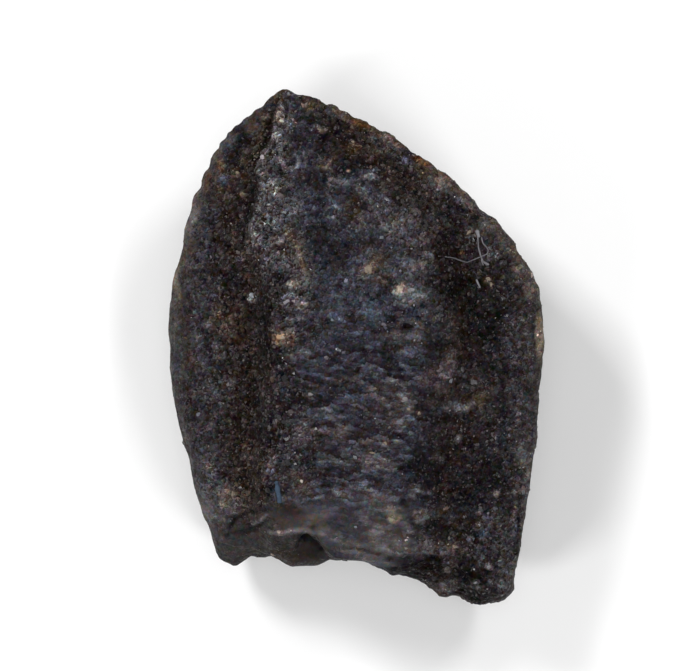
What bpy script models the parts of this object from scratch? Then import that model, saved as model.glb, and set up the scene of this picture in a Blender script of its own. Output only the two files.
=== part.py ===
"""Crown of a juvenile horned dinosaur's cheek tooth, fossilised, lying on its worn back.

One natural piece. The frame is +Z up from the surface that the tooth lies on, +Y from the
broken base to the tip of the crown, and +X to the right as the ridged enamel face is looked at
from above. The origin is under the middle of the tooth, on its resting plane.

The crown is a loft. Three lines run from the base to the tip: the left margin, the primary
ridge and the right margin. A cross-section template hangs between them, its fields hollowed on
either side of the ridge. Denticles notch both margins near the tip, and the base is broken off
along an uneven surface with the open pulp hollow in it.
"""

import bpy
import bmesh
import numpy as np
from mathutils import Matrix, Vector, noise

MM = 0.001  # metres in a millimetre; the tooth is shaped in millimetres and scaled at the end

# --- Driving dimensions, in millimetres -------------------------------------------------------

# Each line is given at the same nine stations, from below the break to the tip: x, y, z.
TIP = (-1.24, 4.59, 2.85)
LEFT_MARGIN = (
    (-2.05, -5.60, 1.55), (-2.51, -3.80, 1.65), (-2.96, -2.35, 1.75), (-3.35, -0.70, 1.85),
    (-3.31, 0.95, 2.00), (-2.97, 2.40, 2.25), (-2.38, 3.60, 2.50), (-1.89, 4.12, 2.70), TIP,
)
RIDGE = (
    (-1.40, -5.60, 3.60), (-1.50, -3.85, 3.85), (-1.56, -2.40, 4.18), (-1.36, -0.85, 4.42),
    (-1.40, 0.75, 4.46), (-1.70, 2.05, 4.26), (-1.62, 3.00, 3.90), (-1.46, 3.88, 3.38), TIP,
)
RIGHT_MARGIN = (
    (2.58, -5.80, 1.95), (2.86, -4.30, 2.15), (3.11, -2.55, 2.45), (3.31, -0.90, 2.65),
    (3.33, 0.62, 2.85), (2.76, 1.84, 2.98), (1.64, 2.99, 3.05), (0.28, 3.93, 3.00), TIP,
)
BACK_HEIGHT = (-0.12, -0.12, -0.14, -0.14, -0.06, 0.42, 1.20, 1.95, 2.85)  # of the back, per station

# Cross-section of the face. A rail is its share of the way from the ridge to the margin, at each
# station, and its share of the ridge's height over the margin.
PLATEAU_MIDDLE = (0.25,) * 9
PLATEAU_EDGE = (0.44, 0.45, 0.47, 0.50, 0.58, 0.62, 0.62, 0.58, 0.55)
GROOVE_FLOOR = (0.72, 0.72, 0.72, 0.73, 0.75, 0.78, 0.80, 0.79, 0.78)
RIGHT_RIM = (0.91,) * 9
RIGHT_FIELD = ((PLATEAU_MIDDLE, 1.02), (PLATEAU_EDGE, 0.88), (GROOVE_FLOOR, 0.38), (RIGHT_RIM, 0.33))
LEFT_HOLLOW = (0.26,) * 9
LEFT_FLANK = (0.58,) * 9
LEFT_RIM = (0.87,) * 9
LEFT_FIELD = ((LEFT_HOLLOW, 0.62), (LEFT_FLANK, 0.42), (LEFT_RIM, 0.30))
# The back, from the right margin to the left: share of the way across, share of the depth.
BACK_FIELD = ((0.06, 0.66), (0.27, 1.00), (0.50, 0.86), (0.74, 1.00), (0.95, 0.66))

# The crest of the primary ridge and the furrow that runs close to the left of it, near the tip:
# a height, a half width and an offset, the last two in rail steps, and the stations it covers.
CREST = (0.17, 0.40, 0.0, (3.8, 5.6, 7.2, 7.9))
FURROW = (-0.13, 0.22, -0.60, (5.6, 6.6, 7.5, 7.9))

# Stations of the notches between the denticles, and how far a denticle stands out from them.
RIGHT_NOTCHES = (4.15, 4.41, 4.90, 5.18, 5.52, 5.87, 6.17, 6.48, 6.93, 7.33, 7.58, 7.83, 8.0)
LEFT_NOTCHES = (4.95, 5.35, 5.65, 5.95, 6.20, 6.45, 6.75, 7.10, 7.38, 7.62, 7.87, 8.0)
DENTICLE_REACH = 0.10
DENTICLE_LENGTH = 0.80  # onto the face, in rail steps
DENTICLE_BACK_LENGTH = 0.45
DENTICLE_FADE = (7.4, 7.8)  # stations between which they die out towards the tip
SPREAD_FLATNESS = 0.2  # share of the height in the direction that denticles stand out in

# Small forms joined to the crown: centre and radius.
TIP_KNOBS = (((-1.26, 4.48, 2.87), 0.15), ((-1.47, 4.28, 2.88), 0.15))

LUMP_SIZE = 0.75  # wavelength and height of the uneven enamel, coarse and fine
LUMP_HEIGHT = 0.045
GRAIN_SIZE = 0.30
GRAIN_HEIGHT = 0.03
TIP_CALM = (0.3, 2.4)  # distances from the tip between which the unevenness rises to its full height

# The break, as three lines across the base, each a row of (x, y): the edge of the ridged face,
# the middle of the wall, and the edge of the back.
BREAK_FRONT = (
    (-2.75, -3.65), (-2.40, -3.50), (-2.05, -3.20), (-1.74, -3.08), (-1.52, -3.30), (-1.15, -3.32),
    (-0.86, -3.22), (-0.66, -3.42), (-0.44, -3.70), (0.10, -3.80), (0.55, -3.84), (1.15, -3.88),
    (1.60, -3.84), (1.85, -4.00), (2.05, -4.25), (2.35, -4.48), (2.65, -4.46), (2.95, -3.90),
)
BREAK_MIDDLE = (
    (-2.80, -3.70), (-2.45, -3.86), (-2.20, -3.92), (-1.90, -3.74), (-1.60, -3.78), (-1.20, -3.92),
    (-0.66, -4.00), (-0.42, -3.82), (0.15, -3.82), (0.45, -3.98), (0.75, -4.13), (1.15, -4.26),
    (1.50, -4.47), (1.85, -4.50), (2.05, -4.60), (2.30, -4.60), (2.60, -4.54), (2.85, -4.30),
    (2.95, -3.90),
)
BREAK_BACK = ((-2.75, -3.50), (-1.80, -3.60), (-0.80, -3.70), (0.30, -3.62), (1.40, -3.85), (2.95, -3.70))
# Height of the ridged face along the break, as (x, z).
BREAK_FACE_HEIGHT = (
    (-2.75, 1.60), (-2.25, 2.60), (-1.85, 3.20), (-1.45, 3.85), (-0.40, 3.95), (0.60, 3.65),
    (1.60, 2.90), (2.40, 2.65), (2.95, 2.20),
)
BREAK_BACK_HEIGHT = 0.15
BREAK_ROUGHNESS = 0.06
BREAK_CHIP_SIZE = 0.55
BREAK_LAYER = 0.85  # from one ledge of the break to the next, up the wall
BREAK_LEDGE = 0.09  # depth of a ledge
LEDGE_TILT = 0.25  # how much the ledges climb from right to left, for each millimetre
LEDGE_WAVE = 0.30  # how far they wander up and down, and over what length
LEDGE_WAVELENGTH = 1.6
# Hollows in the break: the worn pulp cavity, the recess under the thin ledge, and a bite out of
# the right corner, each as x and z of its middle, its half width and half height, and its depth.
BREAK_HOLLOWS = (
    (0.00, 1.30, 1.05, 0.55, 0.42),
    (-0.78, 3.10, 0.24, 0.38, 0.62),
    (1.88, 2.45, 0.20, 0.24, 0.34),
)

# --- Sampling ---------------------------------------------------------------------------------

STATIONS_PER_SPAN = 18
COLUMNS_PER_SPAN = 10
BREAK_COLUMNS = 72
BREAK_ROWS = 48
BLOCK_WIDTH = 7.2  # of the block that takes the base away
BLOCK_HEIGHT = 6.4
BLOCK_BOTTOM = -0.8
BLOCK_END = -7.0
TRIANGLES = 9600  # what the finished tooth is thinned to
LAST_STATION = 7.80  # of the skin; a fan closes it from there to the tip, inside a knob
SHORTEST = 0.001  # the least length that a direction is worked out from
FLOOR_SIDE = 20.0  # of the block that cuts the back flat
LUMP_SEED, GRAIN_SEED, CHIP_SEED, LEDGE_SEED = 1.0, 7.0, 4.0, 5.0


# --- Helpers ----------------------------------------------------------------------------------


def spline(points, places, closed=False):
    """Points on a smooth curve through the given points; a place is an index with a fraction."""
    points = np.asarray(points, float)
    count = len(points)
    start = np.floor(places).astype(int)
    if not closed:
        start = np.clip(start, 0, count - 2)
    part = (np.asarray(places) - start).reshape((-1,) + (1,) * (points.ndim - 1))

    def at(index):
        return points[index % count] if closed else points[np.clip(index, 0, count - 1)]

    before, first, second, after = at(start - 1), at(start), at(start + 1), at(start + 2)
    return 0.5 * (
        2 * first
        + (second - before) * part
        + (2 * before - 5 * first + 4 * second - after) * part**2
        + (3 * first - before - 3 * second + after) * part**3
    )


def smooth_step(value, low, high):
    """0 below low, 1 above high, and a smooth rise between them."""
    share = np.clip((value - low) / (high - low), 0.0, 1.0)
    return share * share * (3 - 2 * share)


def lobes(place, notches):
    """Rounded lobes with sharp notches between them, from 0 at a notch to 1 on a lobe."""
    return np.sqrt(np.abs(np.sin(np.pi * np.interp(place, notches, range(len(notches))))))


def rise_and_fall(place, bounds):
    """A smooth rise from 0 to 1 between the first two bounds and a fall between the last two."""
    return smooth_step(place, bounds[0], bounds[1]) * (1 - smooth_step(place, bounds[2], bounds[3]))


def rough(point, size, seed):
    """Smooth noise between about -1 and 1 at a point, with features of about that size."""
    return noise.noise(Vector(point) / size + Vector((seed, 2.3 * seed, -seed)))


def mesh_object(name, points, faces, collection):
    """A new object with that mesh, its faces pointing outwards."""
    mesh = bpy.data.meshes.new(name)
    mesh.from_pydata([tuple(p) for p in points], [], faces)
    work = bmesh.new()
    work.from_mesh(mesh)
    bmesh.ops.recalc_face_normals(work, faces=work.faces)
    work.to_mesh(mesh)
    work.free()
    made = bpy.data.objects.new(name, mesh)
    collection.objects.link(made)
    return made


def helper(name, work, collection):
    """An object for a Boolean to read, which isn't part of the model."""
    mesh = bpy.data.meshes.new(name)
    work.to_mesh(mesh)
    work.free()
    made = bpy.data.objects.new(name, mesh)
    made.hide_render = True
    made.display_type = "WIRE"
    collection.objects.link(made)
    return made


def ring_faces(rows, columns):
    """Quads between rings of points, each ring stored after the one below it."""
    return [
        (r * columns + c, r * columns + (c + 1) % columns,
         (r + 1) * columns + (c + 1) % columns, (r + 1) * columns + c)
        for r in range(rows - 1)
        for c in range(columns)
    ]


def baked(obj):
    """The object's evaluated mesh put in place of its own, with no modifiers left."""
    graph = bpy.context.evaluated_depsgraph_get()
    mesh = bpy.data.meshes.new_from_object(obj.evaluated_get(graph))
    obj.modifiers.clear()
    obj.data = mesh
    return obj


# --- The crown --------------------------------------------------------------------------------


def section_rails():
    """The rails of the loft at the nine stations: an array of rail by station by (x, y, z).

    They run from the ridge across the right field, round the back and up the left field.
    """
    left, ridge, right = (np.array(line) for line in (LEFT_MARGIN, RIDGE, RIGHT_MARGIN))
    depth = np.array(BACK_HEIGHT)

    def field(shares, height, margin):
        """A rail on the face, between the ridge and a margin."""
        rail = ridge + np.array(shares)[:, None] * (margin - ridge)
        rail[:, 2] = margin[:, 2] + height * (ridge[:, 2] - margin[:, 2])
        return rail

    def back(share, low):
        """A rail on the back, between the margins."""
        rail = right + share * (left - right)
        rail[:, 2] += low * (depth - rail[:, 2])
        return rail

    return np.array(
        [ridge]
        + [field(shares, height, right) for shares, height in RIGHT_FIELD]
        + [right]
        + [back(share, low) for share, low in BACK_FIELD]
        + [left]
        + [field(shares, height, left) for shares, height in reversed(LEFT_FIELD)]
    )


def crown(collection):
    """The whole crown as one closed skin, running on below where the base is broken off."""
    rails = section_rails()
    rail_count, station_count = rails.shape[:2]
    right_rail = 1 + len(RIGHT_FIELD)
    left_rail = right_rail + 1 + len(BACK_FIELD)

    stations = np.linspace(0, LAST_STATION, (station_count - 1) * STATIONS_PER_SPAN + 1)
    columns = np.arange(rail_count * COLUMNS_PER_SPAN) / COLUMNS_PER_SPAN
    along = np.array([spline(rail, stations) for rail in rails])
    skin = np.array([spline(along[:, k], columns, closed=True) for k in range(len(stations))])

    station = stations[:, None]
    column = columns[None, :]
    from_ridge = np.where(column > rail_count / 2, column - rail_count, column)
    for height, half_width, offset, bounds in (CREST, FURROW):
        profile = np.exp(-(((from_ridge - offset) / half_width) ** 2))
        skin[..., 2] += height * profile * rise_and_fall(station, bounds)

    middle = skin.mean(axis=1, keepdims=True)
    outwards = skin - middle
    outwards[..., 2] *= SPREAD_FLATNESS
    outwards /= np.maximum(np.linalg.norm(outwards, axis=2, keepdims=True), SHORTEST)
    for rail, notches, to_face in ((right_rail, RIGHT_NOTCHES, -1), (left_rail, LEFT_NOTCHES, 1)):
        across = (column - rail) * to_face
        length = np.where(across > 0, DENTICLE_LENGTH, DENTICLE_BACK_LENGTH)
        reach = np.exp(-((across / length) ** 2)) * (1 - smooth_step(station, *DENTICLE_FADE))
        reach = reach * smooth_step(station, notches[0], notches[1])
        skin += DENTICLE_REACH * (lobes(station, notches) * reach)[..., None] * outwards

    rows, spans = skin.shape[:2]
    points = np.vstack([skin.reshape(-1, 3), skin[0].mean(axis=0), TIP])
    faces = ring_faces(rows, spans)
    base, tip = len(points) - 2, len(points) - 1
    for c in range(spans):
        faces.append((c, base, (c + 1) % spans))
        faces.append(((rows - 1) * spans + c, (rows - 1) * spans + (c + 1) % spans, tip))
    return mesh_object("baby_triceratops_tooth", points, faces, collection)


def tip_knob(centre, radius, collection):
    """One of the small blunt knobs that end the crown."""
    work = bmesh.new()
    bmesh.ops.create_icosphere(work, subdivisions=3, radius=radius)
    bmesh.ops.translate(work, verts=work.verts, vec=centre)
    return helper("tip_knob", work, collection)


# --- The broken base --------------------------------------------------------------------------


def break_depth(x, z):
    """y of the broken surface at x and height z, in millimetres."""

    def along(line):
        xs, values = zip(*line)
        return np.interp(x, xs, values)

    face = along(BREAK_FACE_HEIGHT)
    share = np.clip((z - BREAK_BACK_HEIGHT) / (face - BREAK_BACK_HEIGHT), 0.0, 1.0)
    front, middle, back = along(BREAK_FRONT), along(BREAK_MIDDLE), along(BREAK_BACK)
    return (
        back * (1 - share) * (1 - 2 * share)
        + 4 * middle * share * (1 - share)
        + front * share * (2 * share - 1)
    )


def broken_off(collection):
    """The block that takes away all below the break."""
    work = bmesh.new()
    bmesh.ops.create_grid(work, x_segments=BREAK_COLUMNS, y_segments=BREAK_ROWS, size=0.5)
    for vertex in work.verts:
        x = vertex.co.x * BLOCK_WIDTH
        z = (vertex.co.y + 0.5) * BLOCK_HEIGHT + BLOCK_BOTTOM
        y = break_depth(x, z) + BREAK_ROUGHNESS * rough((x, 0.0, z), BREAK_CHIP_SIZE, CHIP_SEED)
        climb = LEDGE_TILT * x + LEDGE_WAVE * rough((x, 0.0, z), LEDGE_WAVELENGTH, LEDGE_SEED)
        y += BREAK_LEDGE * ((z + climb) / BREAK_LAYER % 1.0 - 0.5)
        for middle_x, middle_z, half_width, half_height, depth in BREAK_HOLLOWS:
            away = ((x - middle_x) / half_width) ** 2 + ((z - middle_z) / half_height) ** 2
            y += depth * np.exp(-away)
        vertex.co = (x, y, z)
    grown = bmesh.ops.extrude_face_region(work, geom=work.faces[:])
    for part in grown["geom"]:
        if isinstance(part, bmesh.types.BMVert):
            part.co.y = BLOCK_END
    bmesh.ops.recalc_face_normals(work, faces=work.faces[:])
    return helper("broken_off", work, collection)


# --- Finish -----------------------------------------------------------------------------------


def boolean(obj, other, operation):
    """A Boolean modifier on the object."""
    modifier = obj.modifiers.new(other.name, "BOOLEAN")
    modifier.object = other
    modifier.operation = operation
    modifier.solver = "EXACT"


def roughened(obj):
    """The skin made uneven along its normals, less so towards the tip, where it is finely cut."""
    mesh = obj.data
    moves = []
    for vertex in mesh.vertices:
        lump = LUMP_HEIGHT * rough(vertex.co, LUMP_SIZE, LUMP_SEED)
        grain = GRAIN_HEIGHT * rough(vertex.co, GRAIN_SIZE, GRAIN_SEED)
        from_tip = (vertex.co - Vector(TIP)).length
        moves.append(vertex.normal * (lump + grain) * smooth_step(from_tip, *TIP_CALM))
    for vertex, move in zip(mesh.vertices, moves):
        vertex.co += move
    mesh.update()
    return obj


def resting_plane(collection):
    """The block below the plane that the back is worn down to."""
    work = bmesh.new()
    bmesh.ops.create_cube(work, size=FLOOR_SIDE)
    bmesh.ops.translate(work, verts=work.verts, vec=(0.0, 0.0, -FLOOR_SIDE / 2))
    return helper("resting_plane", work, collection)


def triangulated(obj):
    """The object's mesh with its modifiers applied, as triangles."""
    triangulate = obj.modifiers.new("triangles", "TRIANGULATE")
    triangulate.quad_method = "SHORTEST_DIAGONAL"
    return baked(obj)


def thinned(obj):
    """The mesh with its smooth stretches thinned, to about TRIANGLES triangles."""
    triangulated(obj)
    decimate = obj.modifiers.new("thin", "DECIMATE")
    decimate.ratio = TRIANGLES / len(obj.data.polygons)
    return baked(obj)


def set_down(obj):
    """Moves the mesh so that the middle of its box is over the origin, and scales it to metres."""
    across, along = ([vertex.co[axis] for vertex in obj.data.vertices] for axis in (0, 1))
    middle = Vector(((min(across) + max(across)) / 2, (min(along) + max(along)) / 2, 0.0))
    obj.data.transform(Matrix.Scale(MM, 4) @ Matrix.Translation(-middle))


def fossil_enamel():
    """Near-black fossil enamel with a dull sheen."""
    material = bpy.data.materials.new("fossil_enamel")
    material.use_nodes = True
    shader = material.node_tree.nodes["Principled BSDF"]
    shader.inputs["Base Color"].default_value = (0.045, 0.042, 0.044, 1.0)
    shader.inputs["Roughness"].default_value = 0.55
    shader.inputs["Metallic"].default_value = 0.0
    return material


def main():
    """Clears the scene and builds the tooth."""
    for old in list(bpy.data.objects):
        bpy.data.objects.remove(old)
    shown = bpy.data.collections.new("baby_triceratops_tooth")
    cutters = bpy.data.collections.new("cutters")
    for collection in (shown, cutters):
        bpy.context.scene.collection.children.link(collection)

    tooth = roughened(crown(shown))
    for centre, radius in TIP_KNOBS:
        boolean(tooth, tip_knob(centre, radius, cutters), "UNION")
    boolean(tooth, broken_off(cutters), "DIFFERENCE")
    thinned(tooth)
    boolean(tooth, resting_plane(cutters), "DIFFERENCE")
    triangulated(tooth)
    set_down(tooth)
    for cutter in list(cutters.objects):
        bpy.data.objects.remove(cutter)
    bpy.data.collections.remove(cutters)

    tooth.data.materials.clear()
    tooth.data.materials.append(fossil_enamel())
    tooth.data.shade_smooth()


main()
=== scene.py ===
"""Dresses the fossil crown of a young horned dinosaur's tooth and lights it for a portrait.

The crown lies on its worn back with its ridged enamel face up, the broken base towards -Y. One skin
stands for the whole crown. Mineral grains, some pebbles and a few bits of lint lie on it.

Shapes and stains are worked out in millimetres and scaled to metres when a piece is finished.
"""

import logging
import math
import sys
from dataclasses import dataclass, field
from enum import Enum
from typing import Dict, List, Mapping, Optional, Sequence, Tuple, Union

import bmesh
import bpy
import numpy as np
from mathutils import Matrix, Vector
from mathutils.bvhtree import BVHTree

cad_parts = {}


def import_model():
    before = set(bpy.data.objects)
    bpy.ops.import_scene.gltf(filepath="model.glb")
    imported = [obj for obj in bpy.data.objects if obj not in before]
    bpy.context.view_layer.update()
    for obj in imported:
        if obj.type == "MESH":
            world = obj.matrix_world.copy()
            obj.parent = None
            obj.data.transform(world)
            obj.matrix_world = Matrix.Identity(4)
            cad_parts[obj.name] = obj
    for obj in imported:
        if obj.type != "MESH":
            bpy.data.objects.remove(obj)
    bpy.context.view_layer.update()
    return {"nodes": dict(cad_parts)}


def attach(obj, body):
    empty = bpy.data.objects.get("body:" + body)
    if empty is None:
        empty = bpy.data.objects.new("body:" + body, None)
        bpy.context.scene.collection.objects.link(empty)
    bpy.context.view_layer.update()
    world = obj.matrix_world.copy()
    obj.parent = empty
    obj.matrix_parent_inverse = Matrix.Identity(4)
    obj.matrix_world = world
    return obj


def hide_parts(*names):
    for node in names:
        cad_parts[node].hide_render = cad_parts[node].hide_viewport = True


LOG = logging.getLogger("tooth")
MM = 0.001  # metres in a millimetre
NODE = "baby_triceratops_tooth"
BODY = "root"

Point2 = Tuple[float, float]
Colour = Tuple[float, float, float]
Value = Union[float, int, str, Sequence[float], bpy.types.NodeSocket]


# --- Palette and named places -----------------------------------------------------------------


class Mineral(Enum):
    """Colours laid on the fossil, as linear reflectances. The darkest also serve as painted shade in creases
    and hollows, and the palest as painted highlights and glints.
    """

    ENAMEL = (0.036, 0.033, 0.038)
    SLATE = (0.040, 0.041, 0.054)
    ASH = (0.061, 0.057, 0.062)
    CHALK = (0.135, 0.125, 0.128)
    UMBER = (0.031, 0.022, 0.0185)
    OLIVE = (0.052, 0.042, 0.028)
    SOOT = (0.010, 0.008, 0.009)
    PITCH = (0.006, 0.005, 0.005)
    AMBER = (0.120, 0.062, 0.024)
    SAND = (0.150, 0.118, 0.086)
    DENTINE = (0.050, 0.045, 0.043)
    BLUE = (0.052, 0.060, 0.092)
    ROSE = (0.078, 0.060, 0.066)
    CREAM = (0.280, 0.230, 0.180)
    ORANGE = (0.300, 0.190, 0.110)
    LINT = (0.150, 0.148, 0.160)
    FLUFF = (0.120, 0.115, 0.125)
    SKY = (0.080, 0.092, 0.125)
    FIBRE = (0.036, 0.056, 0.086)


# The same minerals under their own names, in the palette's order.
(ENAMEL, SLATE, ASH, CHALK, UMBER, OLIVE, SOOT, PITCH, AMBER, SAND, DENTINE, BLUE, ROSE, CREAM,
 ORANGE, LINT, FLUFF, SKY, FIBRE) = Mineral


# What the skin's own colours are multiplied by, once they are all laid.
OVERALL = (0.85, 0.915, 0.90)


class Ground(Enum):
    """Attributes of the skin that the relief, the grains and the finish read."""

    TINT = "tint"
    REST = "rest"
    RELIEF = "relief"
    COBBLE = "cobble"
    STREAK = "streak"
    GRIT = "grit"
    GLINT = "glint"
    LUCK = "luck"
    BARE = "bare"


@dataclass(frozen=True)
class Stain:
    """A soft patch of colour on the face, with ragged edges. Most are the fossil's own stains; some are
    painted shade in its hollows and creases.

    Places and radii are in millimetres in plan; turn is in degrees.
    """

    name: str
    place: Point2
    radii: Point2
    mineral: Mineral
    strength: float = 0.6
    turn: float = 0.0


def stains(*rows: Sequence) -> Tuple[Stain, ...]:
    """Makes stains of rows of name, x, y, two radii, mineral, strength and turn."""
    return tuple(Stain(row[0], row[1:3], row[3:5], *row[5:]) for row in rows)


@dataclass(frozen=True)
class Stroke:
    """A line on the face that is raised or cut in, and may be coloured.

    Points, width and height are in millimetres; a negative height cuts in.
    """

    name: str
    points: Tuple[Point2, ...]
    width: float
    height: float
    mineral: Optional[Mineral] = None
    strength: float = 0.5


@dataclass(frozen=True)
class Bulge:
    """A small lump or dent of the outline. Lengths are in millimetres."""

    name: str
    place: Point2
    radius: float
    shift: Point2


# Lines of the crown from the base to the tip, as (x, y), the same as in the solid.
RIDGE_LINE = (
    (-1.40, -5.60), (-1.50, -3.85), (-1.56, -2.40), (-1.36, -0.85), (-1.40, 0.75), (-1.70, 2.05),
    (-1.62, 3.00), (-1.46, 3.88), (-1.24, 4.59),
)
LEFT_LINE = (
    (-2.05, -5.60), (-2.51, -3.80), (-2.96, -2.35), (-3.35, -0.70), (-3.31, 0.95), (-2.97, 2.40),
    (-2.38, 3.60), (-1.89, 4.12), (-1.24, 4.59),
)
RIGHT_LINE = (
    (2.58, -5.80), (2.86, -4.30), (3.11, -2.55), (3.31, -0.90), (3.33, 0.62), (2.76, 1.84),
    (1.64, 2.99), (0.28, 3.93), (-1.24, 4.59),
)

# What each strip of the face is stained with: share of the way from the ridge to the margin,
# negative to the left, and how cobbled, streaked, gritty and full of glints it is there. A negative
# cobbling is pitted.
STRIPS = (
    (-1.00, DENTINE, 0.08, 0.0, 0.10, 0.1),
    (-0.85, ENAMEL, 0.12, 0.0, 0.15, 0.2),
    (-0.65, ENAMEL, 0.35, 0.0, 0.5, 0.6),
    (-0.45, UMBER, 0.75, 0.0, 0.9, 1.0),
    (-0.12, UMBER, 0.90, 0.0, 1.2, 1.2),
    (0.02, ENAMEL, -0.9, 0.1, 1.2, 1.4),
    (0.12, ENAMEL, -0.7, 0.6, 1.0, 1.0),
    (0.22, SLATE, 0.7, 1.0, 0.22, 0.22),
    (0.52, SLATE, 0.7, 1.0, 0.22, 0.22),
    (0.68, UMBER, 0.8, 0.4, 0.45, 0.40),
    (0.88, ENAMEL, 0.5, 0.1, 0.4, 0.5),
    (1.00, DENTINE, 0.25, 0.1, 0.3, 0.4),
)

# Pale grains low in the groove.
FEET = ((2.21, -2.97), (2.21, -3.21), (2.06, -3.45), (2.55, -2.64), (2.6, -3.87), (2.82, -3.42))

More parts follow.
